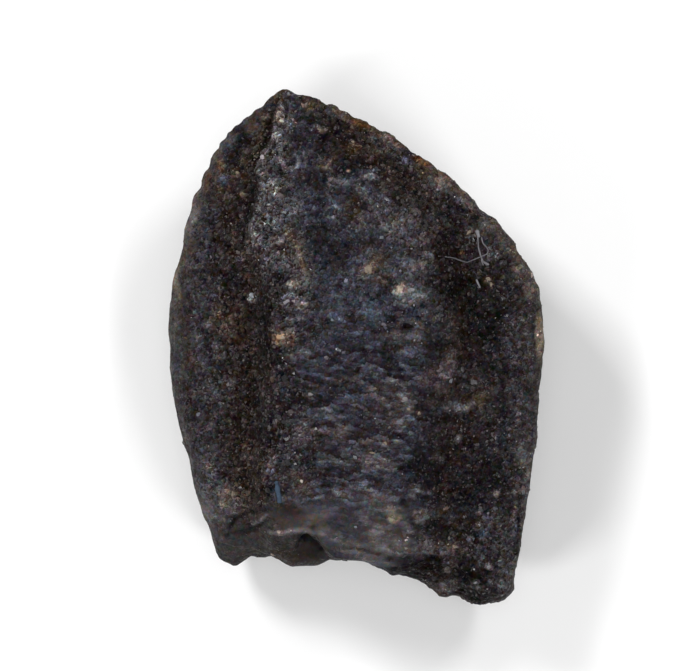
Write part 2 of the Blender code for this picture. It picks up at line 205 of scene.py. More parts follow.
STAINS = stains(
    # The tip and the brown field to the right of the crest.
    ("knob_dark", -1.37, 4.46, 0.13, 0.12, OLIVE, 0.9),
    ("knob_light", -1.17, 4.54, 0.08, 0.06, CHALK, 0.7),
    ("brown_tip", -0.42, 3.9, 0.6, 0.32, SOOT, 0.85, -18),
    ("brown_shoulder", 0.3, 3.45, 0.7, 0.35, UMBER, 0.9, -32),
    ("olive_field", -0.5, 4.06, 0.46, 0.16, OLIVE, 0.25, -22),
    ("brown_field", -0.25, 3.6, 0.55, 0.35, UMBER, 0.9, -10),
    ("brown_margin", 1.3, 2.7, 0.75, 0.28, UMBER, 0.8, -40),
    ("olive_tip", -0.8, 4.31, 0.11, 0.08, OLIVE, 0.9),
    ("amber_small", -1.14, 4.08, 0.06, 0.07, AMBER, 0.5),
    ("rust_field", -0.09, 3.95, 0.09, 0.08, AMBER, 0.35),
    ("amber_field", -0.09, 3.6, 0.14, 0.11, AMBER, 0.3),
    ("yellow_spot", -0.05, 3.7, 0.05, 0.04, CREAM, 0.6),
    ("arrow", -0.66, 3.91, 0.12, 0.05, LINT, 1.0, -15),
    ("arrow_low", -0.6, 3.86, 0.05, 0.05, CREAM, 0.5),
    ("olive_edge", 1.15, 3.18, 0.28, 0.09, OLIVE, 0.9, -35),
    ("olive_vein", -0.03, 2.55, 0.07, 0.35, OLIVE, 0.6),
    ("tan_upper", -0.56, 3.27, 0.14, 0.08, SAND, 0.3),
    ("soot_spot", -0.13, 3.11, 0.22, 0.18, PITCH, 0.75),
    ("upper_dark", -0.1, 3.26, 0.42, 0.16, SOOT, 0.8, -10),
    ("maroon_glint", -0.13, 3.14, 0.03, 0.03, CREAM, 0.8),
    ("pale_green", -0.2, 2.92, 0.08, 0.06, LINT, 0.7),
    ("grey_cell", -0.41, 2.95, 0.08, 0.07, LINT, 0.35),
    ("grey_cell_low", -0.41, 2.42, 0.1, 0.09, BLUE, 0.5),
    ("pink_pair", 0.11, 2.76, 0.1, 0.04, CHALK, 0.8, -20),
    ("yellow_vein", -0.04, 2.66, 0.09, 0.08, OLIVE, 1.0),
    ("ring_dark", -0.84, 3.22, 0.16, 0.14, SOOT, 0.9),
    ("vein_dark", -0.62, 2.62, 0.14, 0.12, SOOT, 0.6),
    ("tip_pitch", -0.38, 4.3, 0.22, 0.1, PITCH, 0.8, -20),
    ("tip_left", -0.97, 4.4, 0.12, 0.08, UMBER, 0.8),
    ("field_dark", -0.26, 3.5, 0.16, 0.1, SOOT, 0.6),
    ("soot_tip", -0.52, 4.32, 0.34, 0.12, UMBER, 0.6, -16),
    ("soot_upper", -0.15, 3.86, 0.26, 0.16, SOOT, 0.8),
    ("red_spot", -0.6, 3.72, 0.12, 0.14, SOOT, 0.8),
    ("slate_upper", -0.92, 3.7, 0.18, 0.26, SLATE, 1.0),
    ("crest_right", -1.04, 3.62, 0.16, 0.32, SOOT, 0.35, -10),
    ("crest_right_low", -1.14, 3.34, 0.12, 0.2, SOOT, 0.6),
    ("slate_rings", -0.88, 3.28, 0.22, 0.16, SLATE, 0.8),
    ("rings_shade", -0.76, 2.94, 0.3, 0.16, SOOT, 0.9),
    ("dark_rings", -1.12, 3.3, 0.12, 0.12, PITCH, 0.8),
    ("blue_rings", 0.32, 3.05, 0.11, 0.07, LINT, 0.8),
    ("blue_spot", 0.28, 3.17, 0.12, 0.03, SKY, 0.6, 10),
    # The crest.
    ("crest_cap", -1.36, 4.17, 0.07, 0.16, CREAM, 0.9, -12),
    ("crest_top", -1.28, 4.1, 0.2, 0.28, ASH, 0.8),
    ("crest_upper", -1.36, 3.6, 0.2, 0.42, ASH, 0.9),
    ("crest_pale", -1.42, 3.8, 0.05, 0.1, CHALK, 0.4, -10),
    ("crest_hole", -1.58, 3.4, 0.09, 0.09, SOOT, 0.8),
    ("crest_middle", -1.38, 2.8, 0.34, 0.34, ASH, 1.0),
    ("crest_bright", -1.48, 2.82, 0.2, 0.2, CHALK, 0.8),
    ("crest_lower", -1.5, 2.2, 0.4, 0.34, ASH, 1.0),
    ("crest_left", -1.78, 1.98, 0.14, 0.16, CHALK, 0.8),
    ("crest_bend", -1.35, 1.7, 0.48, 0.25, ASH, 0.9, -15),
    ("crest_pink", -1.1, 1.62, 0.1, 0.12, CHALK, 0.8),
    ("bend_shade", -1.37, 1.76, 0.13, 0.11, UMBER, 1.0),
    ("crest_fall", -0.92, 1.35, 0.22, 0.24, ASH, 1.0),
    ("crest_foot", -1.08, 0.98, 0.28, 0.26, ASH, 1.0),
    ("crest_cream", -1.12, 1.14, 0.12, 0.09, CREAM, 0.6),
    ("foot_shade", -1.4, 1.12, 0.16, 0.28, SOOT, 0.8),
    ("foot_yellow", -0.96, 0.76, 0.11, 0.11, CHALK, 0.8),
    # Painted shade in the narrow furrow left of the crest.
    ("crest_seam", -1.82, 2.62, 0.15, 0.3, PITCH, 0.9, -10),
    ("seam_soot", -1.76, 2.6, 0.1, 0.13, PITCH, 0.9),
    # The left flank and edge. The dark stains in the hollow beside the ridge and on the ridge's steep left
    # wall are partly its own dark colour and partly painted shade.
    ("flank_ash", -2.1, 1.54, 0.12, 0.14, ASH, 0.7),
    ("flank_dark", -2.15, 3.6, 0.18, 0.6, SOOT, 0.75, -14),
    ("flank_pitch", -1.98, 3.76, 0.12, 0.18, PITCH, 0.7, -14),
    ("flank_pitch_low", -2.25, 3.22, 0.12, 0.16, PITCH, 0.6),
    ("flank_brown", -2.25, 2.85, 0.4, 0.35, UMBER, 0.9),
    ("flank_umber", -2.4, 2.86, 0.2, 0.26, UMBER, 1.0),
    ("flank_seam", -2.02, 2.35, 0.12, 0.6, SOOT, 0.75, -8),
    ("flank_seam_low", -2.25, 1.15, 0.16, 0.3, SOOT, 0.5, -12),
    ("flank_enamel", -2.11, 2.54, 0.08, 0.1, ENAMEL, 0.8),
    ("edge_pale", -2.3, 3.72, 0.12, 0.16, ASH, 1.0, -30),
    ("edge_tan", -2.42, 3.28, 0.09, 0.12, AMBER, 0.45),
    ("edge_blue", -2.38, 3.0, 0.1, 0.1, BLUE, 0.6),
    ("edge_rust", -2.68, 3.05, 0.1, 0.22, AMBER, 0.3),
    ("flank_yellow", -2.1, 3.14, 0.1, 0.1, OLIVE, 0.9),
    ("flank_yellow_low", -2.0, 3.4, 0.07, 0.14, OLIVE, 0.8),
    ("tan_left", -2.45, 0.48, 0.17, 0.26, SAND, 0.45),
    ("edge_shade", -3.02, 0.15, 0.14, 1.1, UMBER, 0.55),
    ("edge_light", -2.94, 2.34, 0.12, 0.46, CHALK, 0.6, -15),
    ("edge_shade_upper", -2.74, 1.34, 0.16, 0.34, SOOT, 0.35, -8),
    ("edge_dark", -3.02, 1.72, 0.14, 0.16, UMBER, 0.9),
    ("edge_dark_low", -2.86, -0.32, 0.12, 0.14, UMBER, 0.8),
    ("left_dark", -2.46, -1.38, 0.14, 0.16, SOOT, 0.6),
    ("ash_left_field", -2.28, -0.24, 0.34, 0.2, ASH, 0.9),
    ("tan_flank", -1.1, -1.48, 0.3, 0.18, SAND, 0.22),
    ("enamel_flank", -2.2, 1.24, 0.14, 0.12, ENAMEL, 0.8),
    ("enamel_left_low", -2.26, -1.58, 0.16, 0.14, ENAMEL, 0.7),
    ("ash_edge_low", -2.54, -1.12, 0.14, 0.16, ASH, 0.6),
    ("chalk_left_field", -2.09, -0.16, 0.16, 0.12, CHALK, 0.6),
    ("ash_left_ridge", -1.78, 0.24, 0.12, 0.12, ASH, 1.0),
    ("ash_flank_low", -2.16, 1.12, 0.12, 0.12, ENAMEL, 0.9),
    ("edge_white", -3.26, 1.2, 0.09, 0.3, CREAM, 0.5),
    ("edge_blue_low", -3.24, -0.25, 0.08, 0.3, SLATE, 0.8),
    # Darker on the ridge's steep left wall: partly its own dark colour, partly painted shade.
    ("soot_ridge", -1.68, 0.45, 0.2, 0.6, SOOT, 0.75),
    ("soot_under_grain", -1.5, -0.12, 0.34, 0.18, SOOT, 0.8),
    ("blue_fleck", -1.88, 0.9, 0.08, 0.09, LINT, 0.5, -40),
    ("rosy_left", -2.28, -0.72, 0.15, 0.15, CHALK, 0.5),
    ("rosy_ring", -1.74, -0.74, 0.16, 0.16, ROSE, 0.6),
    ("field_shade", -2.05, -0.45, 0.6, 0.4, UMBER, 0.7),
    ("field_bulge", -1.22, -0.72, 0.26, 0.36, SOOT, 0.5),
    # Darker on the ridge's steep left wall: partly its own dark colour, partly painted shade.
    ("soot_left", -1.7, -1.42, 0.26, 0.6, SOOT, 1.0, 6),
    ("left_field", -1.95, -0.95, 0.55, 0.9, SOOT, 0.4),
    ("left_brown", -2.15, -1.6, 0.35, 0.6, UMBER, 0.8),
    ("left_low_brown", -2.05, -2.25, 0.45, 0.4, UMBER, 0.6),
    ("sand_fleck", -2.28, -2.62, 0.16, 0.12, SAND, 0.6),
    ("sand_left", -2.47, -2.59, 0.06, 0.08, SAND, 0.7),
    ("cream_left", -2.41, -2.8, 0.07, 0.09, SAND, 0.6),
    ("cream_edge", -2.7, -2.66, 0.07, 0.08, LINT, 0.8),
    ("pink_fleck", -2.66, -2.1, 0.09, 0.09, CHALK, 0.9),
    ("left_low_ash", -2.65, -2.45, 0.2, 0.45, ASH, 0.5),
    # The plateau.
    ("white_line", 0.07, 2.41, 0.11, 0.04, CHALK, 0.9, -10),
    ("plateau_dark", -0.42, 2.72, 0.16, 0.16, SOOT, 0.5),
    ("plateau_light", 0.4, 2.4, 0.5, 0.38, ASH, 0.7),
    ("plateau_white", 0.12, 2.38, 0.12, 0.06, CHALK, 0.8),
    ("plateau_pale", 0.55, 2.14, 0.12, 0.07, CHALK, 0.8),
    ("plateau_purple", 0.92, 2.58, 0.28, 0.22, SOOT, 0.75),
    ("brown_blotch", -0.52, 2.04, 0.5, 0.3, SOOT, 0.65),
    ("brown_blotch_low", -0.62, 1.66, 0.34, 0.26, SOOT, 0.55),
    ("rosy_right", 1.25, 2.05, 0.25, 0.4, ROSE, 0.5),
    ("white_edge", 1.28, 1.62, 0.14, 0.09, CHALK, 0.7, 20),
    ("ash_edge", 1.05, 1.42, 0.35, 0.24, ASH, 0.6),
    ("blue_halo", 0.18, 1.62, 0.22, 0.18, SKY, 0.9),
    ("blue_low_halo", -0.12, 1.18, 0.18, 0.09, SKY, 0.8, -15),
    ("cream_patch", 0.76, 1.04, 0.1, 0.12, CREAM, 0.55),
    ("white_patch", 1.02, 0.96, 0.26, 0.2, LINT, 0.85, -20),
    ("white_tail", 0.86, 0.78, 0.14, 0.08, LINT, 0.7),
    ("ash_middle", 0.3, 0.95, 0.45, 0.35, SLATE, 0.5),
    ("blue_streak", -0.35, 0.58, 0.2, 0.06, SKY, 1.0, -18),
    ("blue_streak_right", 0.28, 0.62, 0.24, 0.07, SKY, 1.0, 5),
    ("white_spot", 1.12, 0.38, 0.07, 0.07, CHALK, 0.8),
    ("blue_patch", 1.05, 0.12, 0.15, 0.14, LINT, 0.8, -25),
    ("dark_dot", -0.98, 0.12, 0.1, 0.1, SOOT, 0.8),
    ("dark_streak", 0.22, -0.07, 0.3, 0.04, SOOT, 0.7),
    ("rosy_lump", 1.62, -0.42, 0.26, 0.26, ROSE, 0.8, -20),
    ("ash_lump", 1.95, -0.62, 0.3, 0.24, ASH, 0.8),
    ("olive_lump", 2.2, -0.9, 0.2, 0.14, OLIVE, 0.9),
    ("ash_low_left", -0.85, -1.42, 0.55, 0.35, ASH, 0.7),
    ("blue_low", -0.3, -1.66, 0.3, 0.12, BLUE, 0.6),
    ("ash_low_middle", 0.15, -1.85, 0.6, 0.3, ASH, 0.6),
    ("white_bluish", 0.76, -1.36, 0.1, 0.11, LINT, 0.8),
    ("pink_spot", -0.28, -1.44, 0.07, 0.12, CHALK, 0.8),
    ("plateau_right", 0.85, 2.25, 0.32, 0.28, ASH, 0.9),
    ("plateau_edge", 1.4, 2.44, 0.14, 0.13, ASH, 0.9),
    ("umber_middle", 0.5, 1.26, 0.2, 0.2, UMBER, 0.8),
    ("umber_upper", 0.16, 1.78, 0.2, 0.14, UMBER, 0.9),
    ("umber_right", 0.38, 1.62, 0.26, 0.14, UMBER, 0.7),
    ("umber_by_blue", 0.42, 1.52, 0.14, 0.12, UMBER, 0.9),
    ("umber_field", -0.05, -0.36, 0.18, 0.1, UMBER, 0.6),
    ("soot_middle", 0.43, 1.05, 0.2, 0.18, SOOT, 0.5),
    ("umber_under_blotch", -0.36, 1.8, 0.3, 0.16, SOOT, 0.8),
    ("umber_vein", -0.06, 2.5, 0.22, 0.26, UMBER, 0.9),
    ("ash_over_groove", 1.35, 0.66, 0.2, 0.18, ASH, 0.6),
    ("ash_field", -0.14, -0.6, 0.36, 0.1, ASH, 0.9),
    ("ash_field_upper", -0.72, -0.68, 0.2, 0.12, ASH, 0.8),
    ("ash_field_right", 0.5, -1.02, 0.3, 0.14, ASH, 0.8),
    ("ash_left", -0.44, -1.6, 0.34, 0.16, ASH, 0.9),
    ("ash_groove", 1.82, -1.08, 0.26, 0.12, CHALK, 0.8),
    ("chalk_middle", 0.32, -2.04, 0.3, 0.12, CHALK, 0.9, -8),
    ("ash_low_field", 0.38, -2.66, 0.48, 0.18, CHALK, 0.6, -8),
    ("ash_low_left_field", -0.58, -2.94, 0.24, 0.1, ASH, 0.8),
    ("ash_by_strip", -0.98, -2.4, 0.2, 0.2, CHALK, 0.6),
    ("ash_low_streak", -0.32, -1.98, 0.34, 0.1, ASH, 0.8, -8),
    ("ash_under_grain", -1.0, -0.12, 0.2, 0.18, CHALK, 0.5),
    ("ash_right_field", 0.84, 0.24, 0.28, 0.16, CHALK, 0.5),
    ("ash_groove_edge", 1.46, 0.24, 0.2, 0.14, ASH, 1.0),
    ("ash_big", 0.72, -0.92, 0.4, 0.34, CHALK, 0.45),
    ("ash_big_core", 0.84, -0.9, 0.2, 0.14, CHALK, 0.7),
    ("ash_left_core", -0.27, -1.47, 0.18, 0.09, CHALK, 0.7),
    ("ash_by_pit", 0.94, 0.45, 0.18, 0.07, CHALK, 0.6),
    ("ash_low_core", 0.61, -2.17, 0.16, 0.09, CHALK, 0.7),
    ("ash_big_low", 0.58, -1.36, 0.2, 0.12, CHALK, 0.6),
    ("ash_over_lump", 1.21, -0.61, 0.14, 0.11, CHALK, 0.8),
    ("chalk_low_mid", 0.28, -2.66, 0.18, 0.1, CHALK, 0.7),
    ("ash_low_mid", 0.43, -2.34, 0.2, 0.08, ASH, 0.9),
    ("ash_white_low", 1.08, 1.46, 0.16, 0.1, CHALK, 0.6),
    ("enamel_low", 1.2, -2.84, 0.24, 0.16, SLATE, 0.7),
    # The groove beside the right margin. Its dark stains are partly its own dark colour and partly painted
    # shade in the hollow.
    ("groove_top", 1.72, 2.42, 0.22, 0.34, SOOT, 0.8, 20),
    ("groove_upper", 1.85, 1.9, 0.35, 0.3, SOOT, 0.6),
    ("groove_bend", 1.72, 1.1, 0.5, 0.34, PITCH, 0.85, 12),
    ("groove_mid", 2.34, 0.46, 0.46, 0.5, PITCH, 0.8, -8),
    ("groove_pitch", 2.52, 0.42, 0.18, 0.22, PITCH, 0.8),
    ("groove_turn_low", 2.32, 1.24, 0.18, 0.18, PITCH, 0.8),
    ("groove_right", 2.48, -0.05, 0.26, 0.5, SOOT, 0.9),
    ("groove_turn", 1.55, 0.1, 0.35, 0.12, SOOT, 0.6),
    ("groove_low", 1.66, -1.3, 0.34, 0.14, SOOT, 0.6, -8),
    ("groove_low_left", 1.06, -2.1, 0.24, 0.26, SOOT, 0.85),
    ("groove_field", 1.7, -2.1, 0.4, 0.4, SOOT, 0.7),
    ("groove_base", 2.15, -2.5, 0.6, 0.56, SOOT, 0.9),
    ("groove_lower", 2.5, -1.9, 0.34, 0.64, SOOT, 0.75),
    ("slate_base", 2.1, -3.0, 0.4, 0.4, SLATE, 0.3),
    ("groove_rim", 2.62, -0.45, 0.12, 0.4, SOOT, 0.5),
    ("groove_enamel", 2.75, -0.57, 0.1, 0.12, ENAMEL, 0.8),
    ("soot_base", 1.42, -3.2, 0.28, 0.12, SOOT, 0.8, -8),
    ("groove_seam", 2.56, -1.15, 0.22, 0.3, SOOT, 0.7),
    ("groove_seam_low", 2.12, -1.7, 0.3, 0.16, SOOT, 0.6),
    ("groove_edge", 1.6, 1.72, 0.18, 0.2, SOOT, 0.6),
    ("groove_bend_low", 2.28, 1.16, 0.34, 0.24, PITCH, 0.9),
    ("groove_foot", 2.0, -3.38, 0.2, 0.14, SOOT, 0.7),
    ("enamel_foot", 1.71, -3.08, 0.16, 0.1, ENAMEL, 0.8),
    ("enamel_field", 1.9, -2.26, 0.16, 0.12, ENAMEL, 0.6),
    ("enamel_left", 1.46, -2.0, 0.13, 0.12, ASH, 0.9),
    ("pitch_corner", 2.23, -3.32, 0.2, 0.16, SOOT, 0.7),
    ("pitch_margin", 2.7, -2.8, 0.16, 0.22, SOOT, 0.6),
    # The low end of the face.
    ("dark_streak_low", -0.35, -2.15, 0.22, 0.06, SOOT, 0.7, 12),
    ("dark_streak_right", 0.3, -2.32, 0.28, 0.06, SOOT, 0.7, -14),
    ("dark_by_fibre", -1.54, -2.58, 0.1, 0.18, PITCH, 0.9),
    ("dark_over_fibre", -1.25, -2.15, 0.18, 0.09, SOOT, 0.6, 15),
    ("dark_base", -1.16, -2.9, 0.3, 0.1, UMBER, 1.0),
    ("strip_light", -1.52, -2.05, 0.1, 0.3, ROSE, 0.7),
    ("yellow_low", -1.0, -2.4, 0.12, 0.28, SAND, 0.4, 37),
    ("sand_low", -0.22, -2.56, 0.2, 0.07, CHALK, 0.6, -15),
    ("sand_base", -1.32, -3.13, 0.2, 0.12, OLIVE, 0.5),
    ("sand_ledge", -0.74, -3.1, 0.3, 0.22, SAND, 0.38, 20),
    ("rust_spot", -0.77, -3.19, 0.07, 0.04, UMBER, 1.0),
    ("rust_right", -0.28, -3.0, 0.09, 0.04, UMBER, 0.9, -10),
    ("rust_low", -0.54, -3.62, 0.1, 0.04, UMBER, 0.9),
    ("cream_low", 0.58, -2.9, 0.12, 0.08, CREAM, 0.45),
    ("blue_low_field", 0.5, -3.27, 0.08, 0.1, BLUE, 0.6),
    ("rosy_low", 0.69, -3.45, 0.1, 0.08, LINT, 0.7),
    ("olive_low", 1.09, -2.97, 0.1, 0.07, CREAM, 0.45),
    ("brown_low", 0.84, -2.77, 0.08, 0.1, SOOT, 0.8, 20),
    ("soot_low", 1.62, -3.36, 0.12, 0.12, SOOT, 0.6),
    ("ash_corner", 1.48, -3.6, 0.26, 0.13, CHALK, 0.8, -24),
    ("ash_base", 0.35, -3.1, 0.55, 0.35, ASH, 0.7, -25),
    ("ash_base_low", 0.7, -3.5, 0.7, 0.22, ASH, 0.9, -8),
    ("chalk_field", 0.45, -3.34, 0.5, 0.24, CHALK, 0.7, -20),
    ("chalk_upper", 0.66, -2.95, 0.26, 0.12, CHALK, 0.8, -20),
    ("chalk_rim", 1.0, -3.58, 0.72, 0.14, CHALK, 0.85, -6),
    ("chalk_left", -0.46, -3.36, 0.28, 0.12, CHALK, 0.6, -15),
    ("field_umber", -0.12, -3.5, 0.14, 0.08, UMBER, 0.8),
    ("edge_chalk", 1.66, -3.92, 0.15, 0.1, CHALK, 0.9),
    ("ash_right", 1.18, -3.02, 0.14, 0.12, CHALK, 0.9),
    ("chalk_rim_left", 0.14, -3.62, 0.5, 0.13, CHALK, 0.9, -8),
    ("chalk_base", 0.66, -3.05, 0.12, 0.1, CREAM, 0.9),
    ("chalk_base_low", 0.38, -3.3, 0.1, 0.11, LINT, 0.9),
    ("chalk_base_right", 0.88, -3.2, 0.16, 0.07, LINT, 0.6, -35),
    ("chalk_right", 1.72, -3.58, 0.1, 0.09, CREAM, 0.5),
    ("blue_right", 1.09, -2.58, 0.12, 0.1, LINT, 0.7),
    ("blue_cluster", 2.3, -3.34, 0.1, 0.1, SKY, 0.8),
    *((f"white_foot_{number}", x, y, 0.06, 0.06, LINT, 0.9) for number, (x, y) in enumerate(FEET)),
    ("cream_corner", 1.62, -3.66, 0.13, 0.1, LINT, 0.8),
    # The break and the right corner.
    ("break_left", -2.05, -3.5, 0.5, 0.34, DENTINE, 0.6),
    ("break_brown", -1.0, -3.74, 0.36, 0.2, UMBER, 0.9),
    ("block_brown", -1.2, -3.82, 0.4, 0.18, UMBER, 1.0),
    # Painted shade in the recess under the ledge.
    ("recess", -0.76, -3.44, 0.1, 0.16, PITCH, 0.7, 38),
    ("rim_pale", 0.42, -3.84, 0.34, 0.08, LINT, 1.0, -12),
    ("band_dark", 0.82, -3.97, 0.42, 0.17, PITCH, 1.0, -4),
    ("band_dark_middle", 1.34, -3.92, 0.38, 0.12, PITCH, 0.85, 4),
    ("band_brown", 1.15, -4.14, 0.4, 0.1, SOOT, 0.7, -25),
    ("ledge_grey", 1.62, -4.34, 0.24, 0.12, CHALK, 0.9, 25),
    # Painted shade: the hollow at the corner and the corner below it are painted near black.
    ("hollow", 2.02, -4.04, 0.28, 0.2, PITCH, 1.0),
    ("hollow_glint", 2.12, -4.22, 0.05, 0.04, LINT, 1.0),
    ("corner_brown", 2.16, -4.42, 0.4, 0.15, PITCH, 1.0, -6),
    ("corner_pitch", 2.04, -4.5, 0.2, 0.1, PITCH, 0.9),
    ("corner_umber", 2.1, -4.36, 0.28, 0.14, PITCH, 0.9, -6),
    ("corner_grey", 2.66, -4.06, 0.26, 0.4, ASH, 0.8),
    ("corner_enamel", 2.83, -3.48, 0.1, 0.14, ENAMEL, 0.8),
    ("foot_dentine", -2.02, -3.5, 0.26, 0.2, ASH, 0.7),
    ("corner_fleck", 2.38, -3.95, 0.05, 0.06, LINT, 1.0),
    ("break_ash", -2.2, -2.92, 0.26, 0.2, CHALK, 0.5),
    ("break_chalk", -2.68, -2.95, 0.18, 0.34, CHALK, 0.7, 12),
    # The right margin.
    ("margin_upper", 2.0, 2.62, 0.3, 0.11, CHALK, 0.6, -42),
    ("margin_top", 1.3, 3.28, 0.14, 0.08, CHALK, 0.7, -35),
    ("margin_middle", 2.56, 2.08, 0.36, 0.12, ASH, 1.0, -48),
    ("margin_chalk", 2.5, 2.13, 0.16, 0.09, CHALK, 0.7, -48),
    ("margin_lower", 3.1, 1.24, 0.13, 0.34, CHALK, 0.8, 22),
    ("margin_shade", 2.68, 1.2, 0.28, 0.5, SOOT, 0.7, 20),
    ("margin_low", 3.06, -1.6, 0.17, 0.9, ASH, 0.9),
    ("margin_low_pale", 3.06, -2.36, 0.16, 0.46, CHALK, 0.75),
    ("margin_stripe", 2.86, -3.4, 0.05, 0.3, SOOT, 0.7),
    ("rim_glass", 3.3, 0.22, 0.09, 0.4, CREAM, 1.0),
)

BULGES = (
    Bulge("left_foot", (-2.24, -3.86), 0.30, (0.0, -0.09)),
    Bulge("block_foot", (-1.13, -3.90), 0.22, (0.0, -0.04)),
    Bulge("band_step", (0.64, -4.06), 0.13, (0.0, -0.07)),
    Bulge("ledge_step", (1.58, -4.44), 0.13, (0.0, -0.06)),
    Bulge("corner_foot", (2.13, -4.58), 0.16, (0.0, -0.06)),
    Bulge("corner", (2.72, -4.38), 0.20, (0.07, -0.05)),
    Bulge("knob_left", (-1.45, 4.46), 0.14, (-0.06, 0.05)),
    Bulge("shoulder", (-0.86, 4.44), 0.22, (0.02, 0.06)),
)


def loop(centre: Point2, radius: float, share: float = 0.8, start: float = 0.0) -> Tuple[Point2, ...]:
    """Points of an open ring.

    Args:
        centre: of the ring.
        radius: of the ring.
        share: of the full turn that is there.
        start: turn in degrees where it begins.

    Returns:
        The points along it.
    """
    points = []
    for step in range(10):
        turn = math.radians(start) + 2 * math.pi * share * step / 9
        points.append((centre[0] + radius * math.cos(turn), centre[1] + 0.8 * radius * math.sin(turn)))
    return tuple(points)


